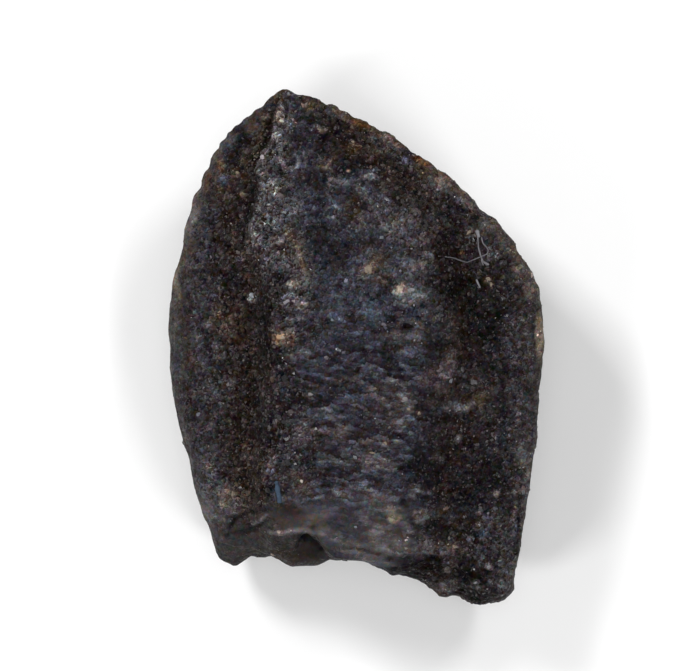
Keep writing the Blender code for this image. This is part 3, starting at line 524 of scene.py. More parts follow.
STROKES = (
    # The furrow is cut in and painted dark: painted shade in the crease.
    Stroke("furrow", ((-1.47, 4.14), (-1.55, 3.90), (-1.64, 3.60)), 0.055, -0.12, SOOT, 1.0),
    # Raised pale lines on the crest, painted pale partly as painted highlights on their rims.
    Stroke("crest_vein_and_highlight", ((-1.39, 3.86), (-1.36, 3.62), (-1.34, 3.40), (-1.27, 3.17)),
           0.028, 0.03, CHALK, 1.0),
    Stroke("crest_ring", ((-1.58, 3.50), (-1.69, 3.42), (-1.74, 3.22), (-1.71, 3.04), (-1.62, 2.90)),
           0.028, 0.03, CHALK, 0.9),
    Stroke("ring_top", ((-1.62, 3.54), (-1.50, 3.50), (-1.40, 3.43)), 0.022, 0.02, CHALK, 0.7),
    Stroke("ring_blue", ((-1.10, 3.50), (-1.02, 3.38), (-1.04, 3.22), (-1.18, 3.18)), 0.022, 0.02, LINT, 0.9),
    Stroke("ring_blue_right", ((-0.97, 3.51), (-0.88, 3.36), (-0.90, 3.24)), 0.020, 0.02, LINT, 0.7),
    Stroke("ring_tan", ((-0.74, 3.26), (-0.52, 3.23), (-0.43, 3.36), (-0.36, 3.42)), 0.020, 0.02, SAND, 0.7),
    Stroke("ring_upper", loop((-0.41, 2.95), 0.10), 0.018, 0.02, CHALK, 0.6),
    Stroke("ring_middle", loop((-0.87, 2.49), 0.11, 0.7, 120.0), 0.018, 0.02, CHALK, 0.6),
    Stroke("ring_lower", loop((-0.42, 2.42), 0.12, 0.7, 40.0), 0.020, 0.02, LINT, 0.7),
    Stroke("ring_right", loop((0.14, 2.98), 0.10, 0.6, 20.0), 0.018, 0.02, CHALK, 0.6),
    Stroke("fall_edge", ((-1.24, 2.04), (-1.12, 1.88), (-0.99, 1.68), (-0.95, 1.50), (-0.84, 1.27)),
           0.035, 0.04, SAND, 0.8),
    Stroke("beaded_line", ((-1.62, 4.13), (-1.67, 3.90), (-1.78, 3.58), (-1.86, 3.36)),
           0.060, 0.04, OLIVE, 0.9),
    # A raised pale line along the crest, painted pale partly as a painted highlight.
    Stroke("crest_edge", ((-1.36, 4.36), (-1.44, 4.06), (-1.46, 3.72), (-1.60, 3.48), (-1.72, 3.20),
             (-1.66, 2.86), (-1.76, 2.40), (-1.88, 2.02), (-1.92, 1.80)),
           0.045, 0.06, CHALK, 0.45),
    # Cut in and painted dark: painted shade beside the crest.
    Stroke("crest_shade", ((-1.84, 3.10), (-1.80, 2.84), (-1.94, 2.40), (-2.02, 2.05)),
           0.06, -0.03, SOOT, 0.8),
    Stroke("knob_upper", ((-0.70, 4.42), (-0.66, 4.42)), 0.08, 0.05, ROSE, 0.6),
    Stroke("knob_second", ((-0.44, 4.31), (-0.40, 4.29)), 0.08, 0.05, CHALK, 0.5),
    Stroke("knob_third", ((-0.20, 4.20), (-0.16, 4.18)), 0.07, 0.05, CHALK, 0.6),
    Stroke("knob_amber", ((0.02, 4.04), (0.16, 4.00)), 0.06, 0.05, AMBER, 1.0),
    Stroke("knob_pink", ((0.52, 3.82), (0.64, 3.74)), 0.06, 0.05, CHALK, 0.9),
    Stroke("knob_rosy", ((0.76, 3.60), (0.80, 3.57)), 0.06, 0.04, ROSE, 0.9),
    Stroke("knob_blue", ((0.90, 3.36), (0.94, 3.34)), 0.07, 0.04, BLUE, 0.8),
    Stroke("knob_orange", ((1.10, 3.40), (1.28, 3.28)), 0.05, 0.04, AMBER, 1.0),
    Stroke("knob_white", ((1.52, 2.94), (1.55, 2.92)), 0.07, 0.05, CHALK, 0.8),
    Stroke("knob_small", ((1.66, 2.80), (1.69, 2.77)), 0.05, 0.04, ASH, 0.9),
    Stroke("knob_lowest", ((1.80, 2.64), (1.83, 2.61)), 0.05, 0.04, ASH, 0.9),
    Stroke("crack_1", ((-2.29, -3.26), (-2.17, -3.08), (-1.89, -2.95), (-1.55, -2.88)),
           0.032, -0.05, SOOT, 0.85),
    Stroke("crack_2", ((-2.35, -3.38), (-1.89, -3.25), (-1.68, -3.16), (-1.59, -3.03)),
           0.026, -0.04, SOOT, 0.7),
    Stroke("crack_3", ((-2.02, -3.35), (-1.80, -3.28)), 0.034, -0.04, SOOT, 0.7),
    # The ledge is raised and painted pale: painted highlight along the ledge's rim.
    Stroke("ledge", ((-1.54, -3.30), (-1.38, -3.31), (-1.20, -3.27), (-1.00, -3.25), (-0.88, -3.26),
             (-0.76, -3.32)),
           0.030, 0.04, CHALK, 0.95),
    # Cut in and painted dark: painted shade in the recess under the ledge.
    Stroke("ledge_gap", ((-0.98, -3.36), (-0.84, -3.38), (-0.72, -3.50), (-0.66, -3.60)),
           0.050, -0.04, SOOT, 0.8),
    Stroke("ledge_fall", ((-0.72, -3.33), (-0.54, -3.56), (-0.30, -3.66)), 0.024, 0.02, OLIVE, 0.4),
    # Painted highlight on the ledge's lip.
    Stroke("ledge_lip", ((-1.05, -3.25), (-0.90, -3.24)), 0.034, 0.03, LINT, 0.7),
    Stroke("block_edge", ((-1.60, -2.99), (-1.70, -3.08), (-1.84, -3.17)), 0.026, 0.03, LINT, 0.6),
    Stroke("rim_line", ((-0.22, -3.57), (0.12, -3.60), (0.40, -3.69), (0.66, -3.78)),
           0.026, -0.02, UMBER, 0.8),
    Stroke("band_line", ((0.66, -3.79), (1.10, -3.76), (1.74, -3.81)), 0.040, -0.03, SOOT, 0.30),
    Stroke("margin_pale", ((2.96, -2.35), (2.87, -2.65), (2.85, -3.00), (2.86, -3.45)),
           0.030, 0.02, CHALK, 0.45),
    Stroke("margin_dark", ((2.93, -2.80), (2.92, -3.30), (2.86, -3.75)), 0.024, -0.02, SOOT, 0.5),
    Stroke("corner_ledge", ((1.62, -4.26), (1.80, -4.18), (2.00, -4.30), (2.30, -4.32)),
           0.03, 0.04, ASH, 0.9),
    Stroke("pit", ((0.90, 0.38), (0.96, 0.36)), 0.07, -0.12, SOOT, 1.0),
    Stroke("glass_streak", ((3.31, 0.48), (3.33, 0.05)), 0.025, 0.0, CREAM, 1.0),
)


# --- Node trees -------------------------------------------------------------------------------


class Weaver:
    """Adds nodes to one tree and links them."""

    def __init__(self, tree: bpy.types.NodeTree) -> None:
        """Starts on a tree.

        Args:
            tree: the node tree to add to.
        """
        self.tree = tree

    def node(self, kind: str, feeds: Optional[Mapping] = None, **settings: object) -> bpy.types.Node:
        """Adds a node.

        Args:
            kind: the node's type.
            feeds: by input name or index, a value or the output that feeds it.
            **settings: the node's own properties.

        Returns:
            The new node.
        """
        made = self.tree.nodes.new(kind)
        for name, value in settings.items():
            setattr(made, name, value)
        for key, value in (feeds or {}).items():
            self.feed(made.inputs[key], value)
        return made

    def feed(self, socket: bpy.types.NodeSocket, value: Value) -> None:
        """Sets a socket to a value, or links an output to it.

        Args:
            socket: the input.
            value: a plain value or an output socket.
        """
        if isinstance(value, bpy.types.NodeSocket):
            self.tree.links.new(value, socket)
        else:
            socket.default_value = value

    def math(self, operation: str, *values: Value, clamp: bool = False) -> bpy.types.NodeSocket:
        """Works a number out of others, kept between 0 and 1 if clamp is set."""
        made = self.node("ShaderNodeMath", dict(enumerate(values)), operation=operation, use_clamp=clamp)
        return made.outputs[0]

    def vector(self, operation: str, *values: Value) -> bpy.types.NodeSocket:
        """Adds a Vector Math node.

        Args:
            operation: what it does.
            *values: its operands.

        Returns:
            Its vector output.
        """
        made = self.node("ShaderNodeVectorMath", operation=operation)
        sockets = (0, "Scale") if operation == "SCALE" else range(len(values))
        for socket, value in zip(sockets, values):
            self.feed(made.inputs[socket], value)
        return made.outputs[0]

    def span(self, value: Value, low: Value, high: Value, start: Value = 0.0, end: Value = 1.0,
             smooth: bool = False) -> bpy.types.NodeSocket:
        """Maps a value from one range to another, clamped.

        Args:
            value: what is mapped.
            low: the value that gives start.
            high: the value that gives end.
            start: the result at low.
            end: the result at high.
            smooth: whether the change is eased.

        Returns:
            The mapped value.
        """
        made = self.node(
            "ShaderNodeMapRange",
            {"Value": value, "From Min": low, "From Max": high, "To Min": start, "To Max": end},
            interpolation_type="SMOOTHSTEP" if smooth else "LINEAR",
        )
        return made.outputs[0]

    def blend(self, share: Value, first: Value, second: Value, how: str = "MIX") -> bpy.types.NodeSocket:
        """Mixes two colours, with share of the second."""
        made = self.node("ShaderNodeMix", {0: share, 6: first, 7: second}, data_type="RGBA", blend_type=how)
        return made.outputs[2]

    def noise(self, place: Value, size: float, detail: float = 3.0, rough: float = 0.55) -> bpy.types.Node:
        """A noise texture with features of a size in millimetres."""
        feeds = {"Vector": place, "Scale": 1.0 / size, "Detail": detail, "Roughness": rough}
        return self.node("ShaderNodeTexNoise", feeds)

    def sway(self, place: Value, size: float, detail: float, reach: float) -> bpy.types.NodeSocket:
        """Moves a place to and fro within reach, in waves of a size, both in millimetres."""
        wave = self.vector("SUBTRACT", self.noise(place, size, detail).outputs["Color"], (0.5,) * 3)
        return self.vector("ADD", place, self.vector("SCALE", wave, reach))

    def product(self, first: Value, *others: Value) -> Value:
        """Multiplies numbers, from the left.

        Args:
            first: a number.
            *others: what it is multiplied by.

        Returns:
            The product.
        """
        for other in others:
            first = self.math("MULTIPLY", first, other)
        return first

    def dye(self, colour: Value, *others: Value) -> Value:
        """Multiplies colours.

        Args:
            colour: the first.
            *others: what it is multiplied by.

        Returns:
            The colour.
        """
        for other in others:
            colour = self.blend(1.0, colour, other, "MULTIPLY")
        return colour

    def vary(self, light: Value, wave: Value, share: Value) -> Value:
        """Multiplies a light by one plus a share of a wave."""
        return self.product(light, self.math("MULTIPLY_ADD", wave, share, 1.0))

    def turned(self, place: Value, degrees: float) -> bpy.types.NodeSocket:
        """Turns a place round the upright axis."""
        feeds = {"Vector": place, "Angle": math.radians(degrees)}
        return self.node("ShaderNodeVectorRotate", feeds, rotation_type="Z_AXIS").outputs[0]

    def read(self, ground: Ground, output: str = "Fac") -> bpy.types.NodeSocket:
        """An attribute of the surface, in a material."""
        return self.node("ShaderNodeAttribute", attribute_name=ground.value).outputs[output]

    def own_place(self) -> bpy.types.NodeSocket:
        """The place on the piece, in millimetres, in a material."""
        return self.vector("SCALE", self.node("ShaderNodeTexCoord").outputs["Object"], 1 / MM)

    def dress(self, shader: bpy.types.Node, base: Value, roughness: Value, gloss: float) -> None:
        """Feeds a shader.

        Args:
            shader: the shader node.
            base: its colour.
            roughness: of the surface.
            gloss: how strong the sheen is.
        """
        for name, value in (("Base Color", base), ("Roughness", roughness), ("Specular IOR Level", gloss)):
            self.feed(shader.inputs[name], value)

    def luck(self, cell: bpy.types.Node) -> bpy.types.bpy_prop_collection:
        """Three random numbers of each cell, from 0 to 1."""
        return self.node("ShaderNodeSeparateColor", {0: cell.outputs["Color"]}).outputs

    def cells(self, place: Value, size: float, feature: str = "F1") -> bpy.types.Node:
        """Random cells of a size in millimetres."""
        return self.node("ShaderNodeTexVoronoi", {"Vector": place, "Scale": 1.0 / size}, feature=feature)

    def lean(self, place: Value, cell: bpy.types.Node, toward: Colour) -> bpy.types.NodeSocket:
        """Tells how far a place lies from its cell's centre, along one direction.

        Args:
            place: where the cells were read.
            cell: the node of the cells.
            toward: the direction, divided by the size of a cell.

        Returns:
            The distance, about -0.5 to 0.5.
        """
        off = self.vector("SUBTRACT", place, cell.outputs["Position"])
        made = self.node("ShaderNodeVectorMath", {0: off, 1: toward}, operation="DOT_PRODUCT")
        return made.outputs["Value"]


def rgba(colour: Colour) -> Tuple[float, float, float, float]:
    """The colour with full opacity."""
    return (*colour, 1.0)


# --- Mesh helpers -----------------------------------------------------------------------------


def add_object(name: str, data: bpy.types.ID) -> bpy.types.Object:
    """Makes an object of a mesh, a light or a camera, and puts it in the scene.

    Args:
        name: of the object.
        data: what it shows.

    Returns:
        The object.
    """
    made = bpy.data.objects.new(name, data)
    bpy.context.scene.collection.objects.link(made)
    return made


def mesh_of(work: bmesh.types.BMesh, name: str) -> bpy.types.Mesh:
    """Turns a working mesh into a plain one and frees it.

    Args:
        work: the working mesh.
        name: of the plain one.

    Returns:
        The plain mesh.
    """
    mesh = bpy.data.meshes.new(name)
    work.to_mesh(mesh)
    work.free()
    return mesh


def finished(work: bmesh.types.BMesh, name: str, tints: Sequence[Colour],
             material: bpy.types.Material) -> bpy.types.Object:
    """Turns a working mesh into a piece of the tooth.

    Args:
        work: the mesh, in millimetres.
        name: of the piece.
        tints: one colour a point.
        material: what it is dressed in.

    Returns:
        The piece, in metres.
    """
    mesh = mesh_of(work, name)
    store(mesh, Ground.TINT, np.array(tints))
    put_places(mesh, places(mesh) * MM)
    mesh.materials.append(material)
    mesh.shade_smooth()
    return add_object(name, mesh)


def set_down(mesh: bpy.types.Mesh) -> None:
    """Lifts what is below the floor up to it, and turns millimetres into metres.

    Args:
        mesh: the mesh.
    """
    points = places(mesh)
    points[:, 2] = np.maximum(points[:, 2], 0.0)
    put_places(mesh, points * MM)


def evaluated_mesh(obj: bpy.types.Object) -> bpy.types.Mesh:
    """Takes an object's mesh with its modifiers applied, and clears them.

    Args:
        obj: the object.

    Returns:
        The plain mesh, which the object now has.
    """
    graph = bpy.context.evaluated_depsgraph_get()
    mesh = bpy.data.meshes.new_from_object(obj.evaluated_get(graph), depsgraph=graph)
    obj.modifiers.clear()
    old = obj.data
    obj.data = mesh
    bpy.data.meshes.remove(old)
    return mesh


def rows_of(mesh: bpy.types.Mesh, what: str) -> np.ndarray:
    """Reads three numbers at each of a mesh's points.

    Args:
        mesh: the mesh.
        what: Blender's name for them.

    Returns:
        Rows of x, y, z.
    """
    found = np.empty(len(mesh.vertices) * 3, np.float32)
    mesh.vertices.foreach_get(what, found)
    return found.reshape(-1, 3).astype(float)


def places(mesh: bpy.types.Mesh) -> np.ndarray:
    """Reads a mesh's points."""
    return rows_of(mesh, "co")


def facings(mesh: bpy.types.Mesh) -> np.ndarray:
    """Reads the normals at a mesh's points."""
    return rows_of(mesh, "normal")


def put_places(mesh: bpy.types.Mesh, points: np.ndarray) -> None:
    """Writes a mesh's points."""
    mesh.vertices.foreach_set("co", points.astype(np.float32).ravel())
    mesh.update()


def store(mesh: bpy.types.Mesh, ground: Ground, values: np.ndarray) -> None:
    """Stores a number or a colour at each point of a mesh.

    Args:
        mesh: the mesh.
        ground: which attribute.
        values: one number a point, or rows of red, green and blue.
    """
    if values.ndim == 1:
        made = mesh.attributes.new(ground.value, "FLOAT", "POINT")
        made.data.foreach_set("value", values.astype(np.float32))
        return
    full = np.ones((len(values), 4), np.float32)
    full[:, :3] = values
    made = mesh.attributes.new(ground.value, "FLOAT_COLOR", "POINT")
    made.data.foreach_set("color", full.ravel())


def smooth_step(value: np.ndarray, low: float, high: float) -> np.ndarray:
    """0 below low, 1 above high, and a smooth rise between them."""
    share = np.clip((value - low) / (high - low), 0.0, 1.0)
    return share * share * (3 - 2 * share)


@dataclass(frozen=True)
class Fade:
    """A smooth rise from 0 at low to 1 at high."""

    low: float
    high: float

    def at(self, value: np.ndarray) -> np.ndarray:
        """How far the rise has come at each value."""
        return smooth_step(value, self.low, self.high)


def wander(points: np.ndarray, size: float, seed: int, waves: int = 24) -> np.ndarray:
    """Smooth random values between about -1 and 1, as a sum of plane waves.

    Args:
        points: rows of x, y, z in millimetres.
        size: of the features, in millimetres.
        seed: of the random directions.
        waves: how many are summed.

    Returns:
        One value a point.
    """
    draw = np.random.default_rng(seed)
    turns = draw.normal(size=(waves, 3)) / size * 1.6
    starts = draw.uniform(0, 2 * math.pi, waves)
    return np.sin(points @ turns.T + starts).sum(axis=1) / math.sqrt(waves)


def distance_to_line(plan: np.ndarray, line: Sequence[Point2]) -> np.ndarray:
    """How far each point in plan is from a polyline.

    Args:
        plan: rows of x, y.
        line: the polyline's points.

    Returns:
        One distance a point.
    """
    best = np.full(len(plan), np.inf)
    for start, end in zip(line, line[1:]):
        begin, along = np.array(start), np.array(end) - np.array(start)
        share = np.clip((plan - begin) @ along / (along @ along), 0.0, 1.0)
        best = np.minimum(best, np.linalg.norm(plan - begin - share[:, None] * along, axis=1))
    return best


# --- The skin ---------------------------------------------------------------------------------


@dataclass
class CrownSkin:
    """The crown's whole surface, from the solid's own mesh, with its relief and stains.

    Lengths are in millimetres.
    """

    voxel: float = 0.034
    smoothing: int = 6
    triangles: int = 196000
    crisp_below: float = 0.13
    ragged_above: float = 0.25
    cobble_size: float = 0.125
    cobble_height: float = 0.055
    grain_size: float = 0.055
    grain_height: float = 0.022
    streak_length: float = 0.26
    streak_width: float = 0.085
    streak_height: float = 0.036
    swell_size: float = 0.45
    swell_height: float = 0.030
    ragged: float = 0.10
    mottle_size: float = 0.26
    mottle: float = 0.16
    # Down the face from its middle: where streaks begin, the ridge's strips waver and the groove glints.
    streaky: Fade = Fade(-1.4, 0.6)
    ridge_wave: Fade = Fade(-0.8, 0.4)
    low_groove: Fade = Fade(0.9, 1.5)
    # Up the face from its middle: where the margins turn amber.
    amber_rim: Fade = Fade(0.4, 1.6)
    # The broken base: how far down it starts, how steep it is and how far to the left.
    break_start: Fade = Fade(2.9, 3.3)
    break_slope: Fade = Fade(0.35, 0.7)
    break_side: Fade = Fade(-0.9, 0.1)
    # The chip beside it: how far past its edge, and how far to the left.
    chip_edge: Fade = Fade(0.0, 0.12)
    chip_side: Fade = Fade(1.30, 1.60)
    # How far a point faces down, and how far it stands upright.
    underside: Fade = Fade(0.0, 0.4)
    steepness: Fade = Fade(0.55, 0.95)
    stains: Tuple[Stain, ...] = STAINS
    strokes: Tuple[Stroke, ...] = STROKES
    bulges: Tuple[Bulge, ...] = BULGES
    obj: Optional[bpy.types.Object] = field(default=None, init=False)

    def build(self, solid: bpy.types.Object, finish: "FossilFinish") -> bpy.types.Object:
        """Makes the skin.

        Args:
            solid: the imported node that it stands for.
            finish: what it is dressed in.

        Returns:
            The finished piece.
        """
        self.obj = self.fine_copy(solid)
        self.cut_strokes()
        self.stain()
        ReliefTree().apply(self.obj, self, finish.material())
        set_down(self.obj.data)
        self.obj.data.shade_smooth()
        return self.obj

    def fine_copy(self, solid: bpy.types.Object) -> bpy.types.Object:
        """A copy of the solid in millimetres, with small even faces and its facets smoothed away.

        Args:
            solid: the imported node.

        Returns:
            The copy.
        """
        work = bmesh.new()
        work.from_mesh(solid.data)
        bmesh.ops.remove_doubles(work, verts=work.verts, dist=1e-7)
        bmesh.ops.scale(work, vec=(1 / MM,) * 3, verts=work.verts)
        made = add_object("crown_skin", mesh_of(work, "crown_skin"))
        remesh = made.modifiers.new("even", "REMESH")
        remesh.mode = "VOXEL"
        remesh.voxel_size = self.voxel
        calm = made.modifiers.new("calm", "SMOOTH")
        calm.factor = 0.5
        calm.iterations = self.smoothing
        evaluated_mesh(made)
        self.thin_back(made)
        return made

    def thin_back(self, made: bpy.types.Object) -> None:
        """Gives the underside larger faces, so that the whole skin keeps to its count.

        Args:
            made: the skin so far.
        """
        mesh = made.data
        normal = facings(mesh)
        hidden = smooth_step(-normal[:, 2], -0.05, 0.25)
        group = made.vertex_groups.new(name="hidden")
        for level in range(11):
            chosen = np.nonzero(np.round(hidden * 10) == level)[0]
            group.add([int(i) for i in chosen], level / 10, "REPLACE")
        faces = sum(len(p.vertices) - 2 for p in mesh.polygons)
        LOG.info("skin before thinning: %d triangles", faces)
        thin = made.modifiers.new("thin", "DECIMATE")
        thin.ratio = min(1.0, self.triangles / faces)
        thin.vertex_group = group.name
        thin.vertex_group_factor = 3.0
        triangles = made.modifiers.new("triangles", "TRIANGULATE")
        triangles.quad_method = "SHORTEST_DIAGONAL"
        evaluated_mesh(made)
        made.vertex_groups.clear()
        LOG.info("skin after thinning: %d triangles", len(made.data.polygons))

    def share_across(self, points: np.ndarray) -> np.ndarray:
        """Share of the way from the ridge to the margin, negative to the left of the ridge.

        Args:
            points: rows of x, y, z.

        Returns:
            One share a point.
        """
        lines = []
        for line in (LEFT_LINE, RIDGE_LINE, RIGHT_LINE):
            xs, ys = zip(*line)
            lines.append(np.interp(points[:, 1], ys, xs))
        left, ridge, right = lines
        off = points[:, 0] - ridge
        width = np.where(off < 0, ridge - left + 1e-6, right - ridge + 1e-6)
        return np.clip(off / width, -1.2, 1.2)

    def cut_strokes(self) -> None:
        """Pushes the lumps of the outline, and raises and cuts the named lines."""
        mesh = self.obj.data
        points = places(mesh)
        for bulge in self.bulges:
            away = np.linalg.norm(points[:, :2] - np.array(bulge.place), axis=1)
            points[:, :2] += np.exp(-((away / bulge.radius) ** 2))[:, None] * np.array(bulge.shift)
        put_places(mesh, points)
        normal = facings(mesh)
        front = smooth_step(normal[:, 2], -0.1, 0.3)
        shift = np.zeros(len(points))
        for stroke in self.strokes:
            away = distance_to_line(points[:, :2], stroke.points)
            shift += stroke.height * np.exp(-((away / stroke.width) ** 2))
        put_places(mesh, points + normal * (shift * front)[:, None])

    def stain(self) -> None:
        """Works out the colour of each point and how rough the surface is there."""
        mesh = self.obj.data
        points, normal = places(mesh), facings(mesh)
        plan = points[:, :2] + self.ragged * np.column_stack(
            [wander(points, 0.22, seed) + 0.5 * wander(points, 0.09, seed + 2) for seed in (11, 12)]
        )
        warped = np.column_stack([plan, points[:, 2]])
        down = -points[:, 1]
        share = self.share_across(warped)
        by_ridge = self.ridge_wave.at(down) * smooth_step(0.45 - share, 0.0, 0.2)
        share = share + 0.09 * wander(points, 0.6, 15) * by_ridge
        stops = [strip[0] for strip in STRIPS]
        colours = np.array([strip[1].value for strip in STRIPS])
        tint = np.column_stack([np.interp(share, stops, colours[:, k]) for k in range(3)])
        cobble, streak, grit, glint = (
            np.interp(share, stops, [strip[k] for strip in STRIPS]) for k in (2, 3, 4, 5)
        )
        low = self.streaky.at(down)
        streak = streak * (0.25 + 0.75 * low)
        cobble = np.where(cobble < 0, cobble * (1 - 1.9 * low), cobble)
        turned = smooth_step(wander(points, 0.5, 31), -0.1, 0.5) * (1 - low) * smooth_step(share, 0.1, 0.3)
        cobble = cobble * (1 - 1.8 * turned)
        bare = self.bare_share(points, warped, normal)
        tint += 0.8 * bare[:, None] * (np.array(DENTINE.value) * 0.75 - tint)
        self.paint(tint, points, plan)
        for side, amount in ((1, 0.35), (-1, 0.20)):
            rim = amount * self.amber_rim.at(-down) * smooth_step(side * share, 0.965, 1.03)
            tint += rim[:, None] * (np.array(AMBER.value) * 0.7 - tint)

        worn = self.worn_share(points, share)
        steep = self.steepness.at(1 - normal[:, 2])
        few = (1 - 0.85 * bare) * (1 - 0.7 * steep) * (1 - 0.6 * worn)
        lively = 1 + 1.1 * (1 - low) * smooth_step(share, 0.15, 0.30)
        lively += 0.8 * self.low_groove.at(down) * smooth_step(share, 0.48, 0.60)
        mottled = 1 + self.mottle * wander(points, self.mottle_size, 21)
        tint = tint * np.clip(mottled, 0.35, 2.0)[:, None] * np.array(OVERALL)
        store(mesh, Ground.TINT, tint)
        store(mesh, Ground.COBBLE, cobble * (1 - 0.85 * bare))
        store(mesh, Ground.STREAK, streak * (1 - 0.7 * bare))
        store(mesh, Ground.GRIT, grit * few * lively)
        store(mesh, Ground.GLINT, glint * few * lively)
        store(mesh, Ground.BARE, np.maximum.reduce([bare, 0.6 * steep, worn]))

    def bare_share(self, points: np.ndarray, warped: np.ndarray, normal: np.ndarray) -> np.ndarray:
        """Where dentine shows: on the break, on the chip beside it and underneath.

        Args:
            points: the skin's points.
            warped: the same with a ragged plan.
            normal: the skin's normals.

        Returns:
            A share from 0 to 1 for each point.
        """
        broken = self.break_slope.at(-normal[:, 1]) * self.break_start.at(-points[:, 1])
        broken = broken * self.break_side.at(-points[:, 0])
        chip = self.chip_edge.at(-2.85 + 0.41 * (warped[:, 0] + 1.5) - warped[:, 1])
        chip = 0.9 * chip * self.chip_side.at(-warped[:, 0])
        return np.maximum.reduce([broken, chip, self.underside.at(-normal[:, 2])])

    def worn_share(self, points: np.ndarray, share: np.ndarray) -> np.ndarray:
        """How smooth the margins and the low end of the face are worn.

        Args:
            points: the skin's points.
            share: of the way from the ridge to the margin.

        Returns:
            A share from 0 to 1 for each point.
        """
        down = -points[:, 1]
        worn = 0.6 * smooth_step(-share, 0.78, 0.95)
        worn += 0.5 * smooth_step(share, 0.90, 1.0) * smooth_step(-down, -2.9, -2.4)
        beside = smooth_step(0.62 - share, 0.0, 0.1) * (share > 0.0)
        worn += 0.9 * smooth_step(down, 2.5, 2.95) * beside
        return worn + 0.5 * smooth_step(down, 2.75, 2.95) * smooth_step(-points[:, 0], 0.3, 0.6)

    def paint(self, tint: np.ndarray, points: np.ndarray, plan: np.ndarray) -> None:
        """Lays the stains and the coloured lines over the strips. Some of them are painted shade in creases
        and hollows, and some are painted highlights on the ledge and the crest.

        A stain fades out down the walls, and a small one keeps a crisper edge.

        Args:
            tint: rows of colours, which are changed.
            points: the skin's points.
            plan: their ragged places in plan.
        """
        for stain in (*self.stains, *(pebble.halo() for pebble in PEBBLES)):
            turn = math.radians(stain.turn)
            size = min(stain.radii)
            small = size < self.crisp_below
            loose = 0.25 if small else (0.5 if size < self.ragged_above else 0.9)
            off = (1 - loose) * points[:, :2] + loose * plan - np.array(stain.place)
            along = off @ np.array((math.cos(turn), math.sin(turn)))
            across = off @ np.array((-math.sin(turn), math.cos(turn)))
            reach = (along / stain.radii[0]) ** 2 + (across / stain.radii[1]) ** 2
            weight = stain.strength * np.exp(-(reach ** (2.2 if small else 1.3)))
            near = np.hypot(along, across) < 0.25
            top = points[near, 2].max() if near.any() else 3.0
            weight = weight * smooth_step(points[:, 2], top - 1.2, top - 0.6)
            tint += weight[:, None] * (np.array(stain.mineral.value) - tint)
        for stroke in self.strokes:
            if stroke.mineral is None:
                continue
            away = distance_to_line(points[:, :2], stroke.points)
            weight = stroke.strength * np.exp(-((away / (1.3 * stroke.width)) ** 2))
            tint += weight[:, None] * (np.array(stroke.mineral.value) - tint)


class NodeForm:
    """A Geometry Nodes tree with named inputs."""

    def __init__(self, name: str, lengths: Sequence[str]) -> None:
        """Starts a tree.

        Args:
            name: of the tree.
            lengths: names of its number inputs.
        """
        self.lengths = tuple(lengths)
        self.tree = bpy.data.node_groups.new(name, "GeometryNodeTree")
        face = self.tree.interface
        self.keys: Dict[str, str] = {}
        face.new_socket("Geometry", in_out="OUTPUT", socket_type="NodeSocketGeometry")
        for socket, kind in (
            ("Geometry", "Geometry"), *((length, "Float") for length in lengths), ("material", "Material")
        ):
            made = face.new_socket(socket, in_out="INPUT", socket_type=f"NodeSocket{kind}")
            self.keys[socket] = made.identifier
        self.weave = Weaver(self.tree)
        self.entry = self.weave.node("NodeGroupInput").outputs

    def apply(self, obj: bpy.types.Object, lengths: object, material: bpy.types.Material) -> None:
        """Runs the tree on an object's mesh.

        Args:
            obj: the object.
            lengths: holds each input under its own name.
            material: what the mesh is dressed in.
        """
        modifier = obj.modifiers.new(self.tree.name, "NODES")
        modifier.node_group = self.tree
        for name in self.lengths:
            modifier[self.keys[name]] = getattr(lengths, name)
        modifier[self.keys["material"]] = material
        evaluated_mesh(obj)

    def ground(self, ground: Ground, kind: str = "FLOAT") -> bpy.types.NodeSocket:
        """The output that reads an attribute of the skin."""
        made = self.weave.node("GeometryNodeInputNamedAttribute", {"Name": ground.value}, data_type=kind)
        return made.outputs["Attribute"]

    def keep(self, geometry: Value, ground: Ground, value: Value, kind: str = "FLOAT",
             domain: str = "POINT") -> bpy.types.NodeSocket:
        """Stores an attribute.

        Args:
            geometry: what it is stored on.
            ground: which attribute.
            value: what is stored.
            kind: of value.
            domain: where it is stored.

        Returns:
            The geometry with it.
        """
        made = self.weave.node(
            "GeometryNodeStoreNamedAttribute",
            {"Geometry": geometry, "Name": ground.value},
            data_type=kind, domain=domain,
        )
        self.weave.feed(made.inputs["Value"], value)
        return made.outputs[0]

    def close(self, geometry: Value) -> None:
        """Ends the tree: instances become mesh and the material is set.

        Args:
            geometry: what the tree has made.
        """
        real = self.weave.node("GeometryNodeRealizeInstances", {0: geometry})
        dressed = self.weave.node(
            "GeometryNodeSetMaterial", {"Geometry": real.outputs[0], "Material": self.entry["material"]}
        )
        self.weave.node("NodeGroupOutput", {0: dressed.outputs[0]})


# The texture is stretched upright by this, so that the steep flanks don't look combed.
UPRIGHT = 0.42
# The raised streaks are turned by this, in degrees.
STREAK_TURN = 9.0


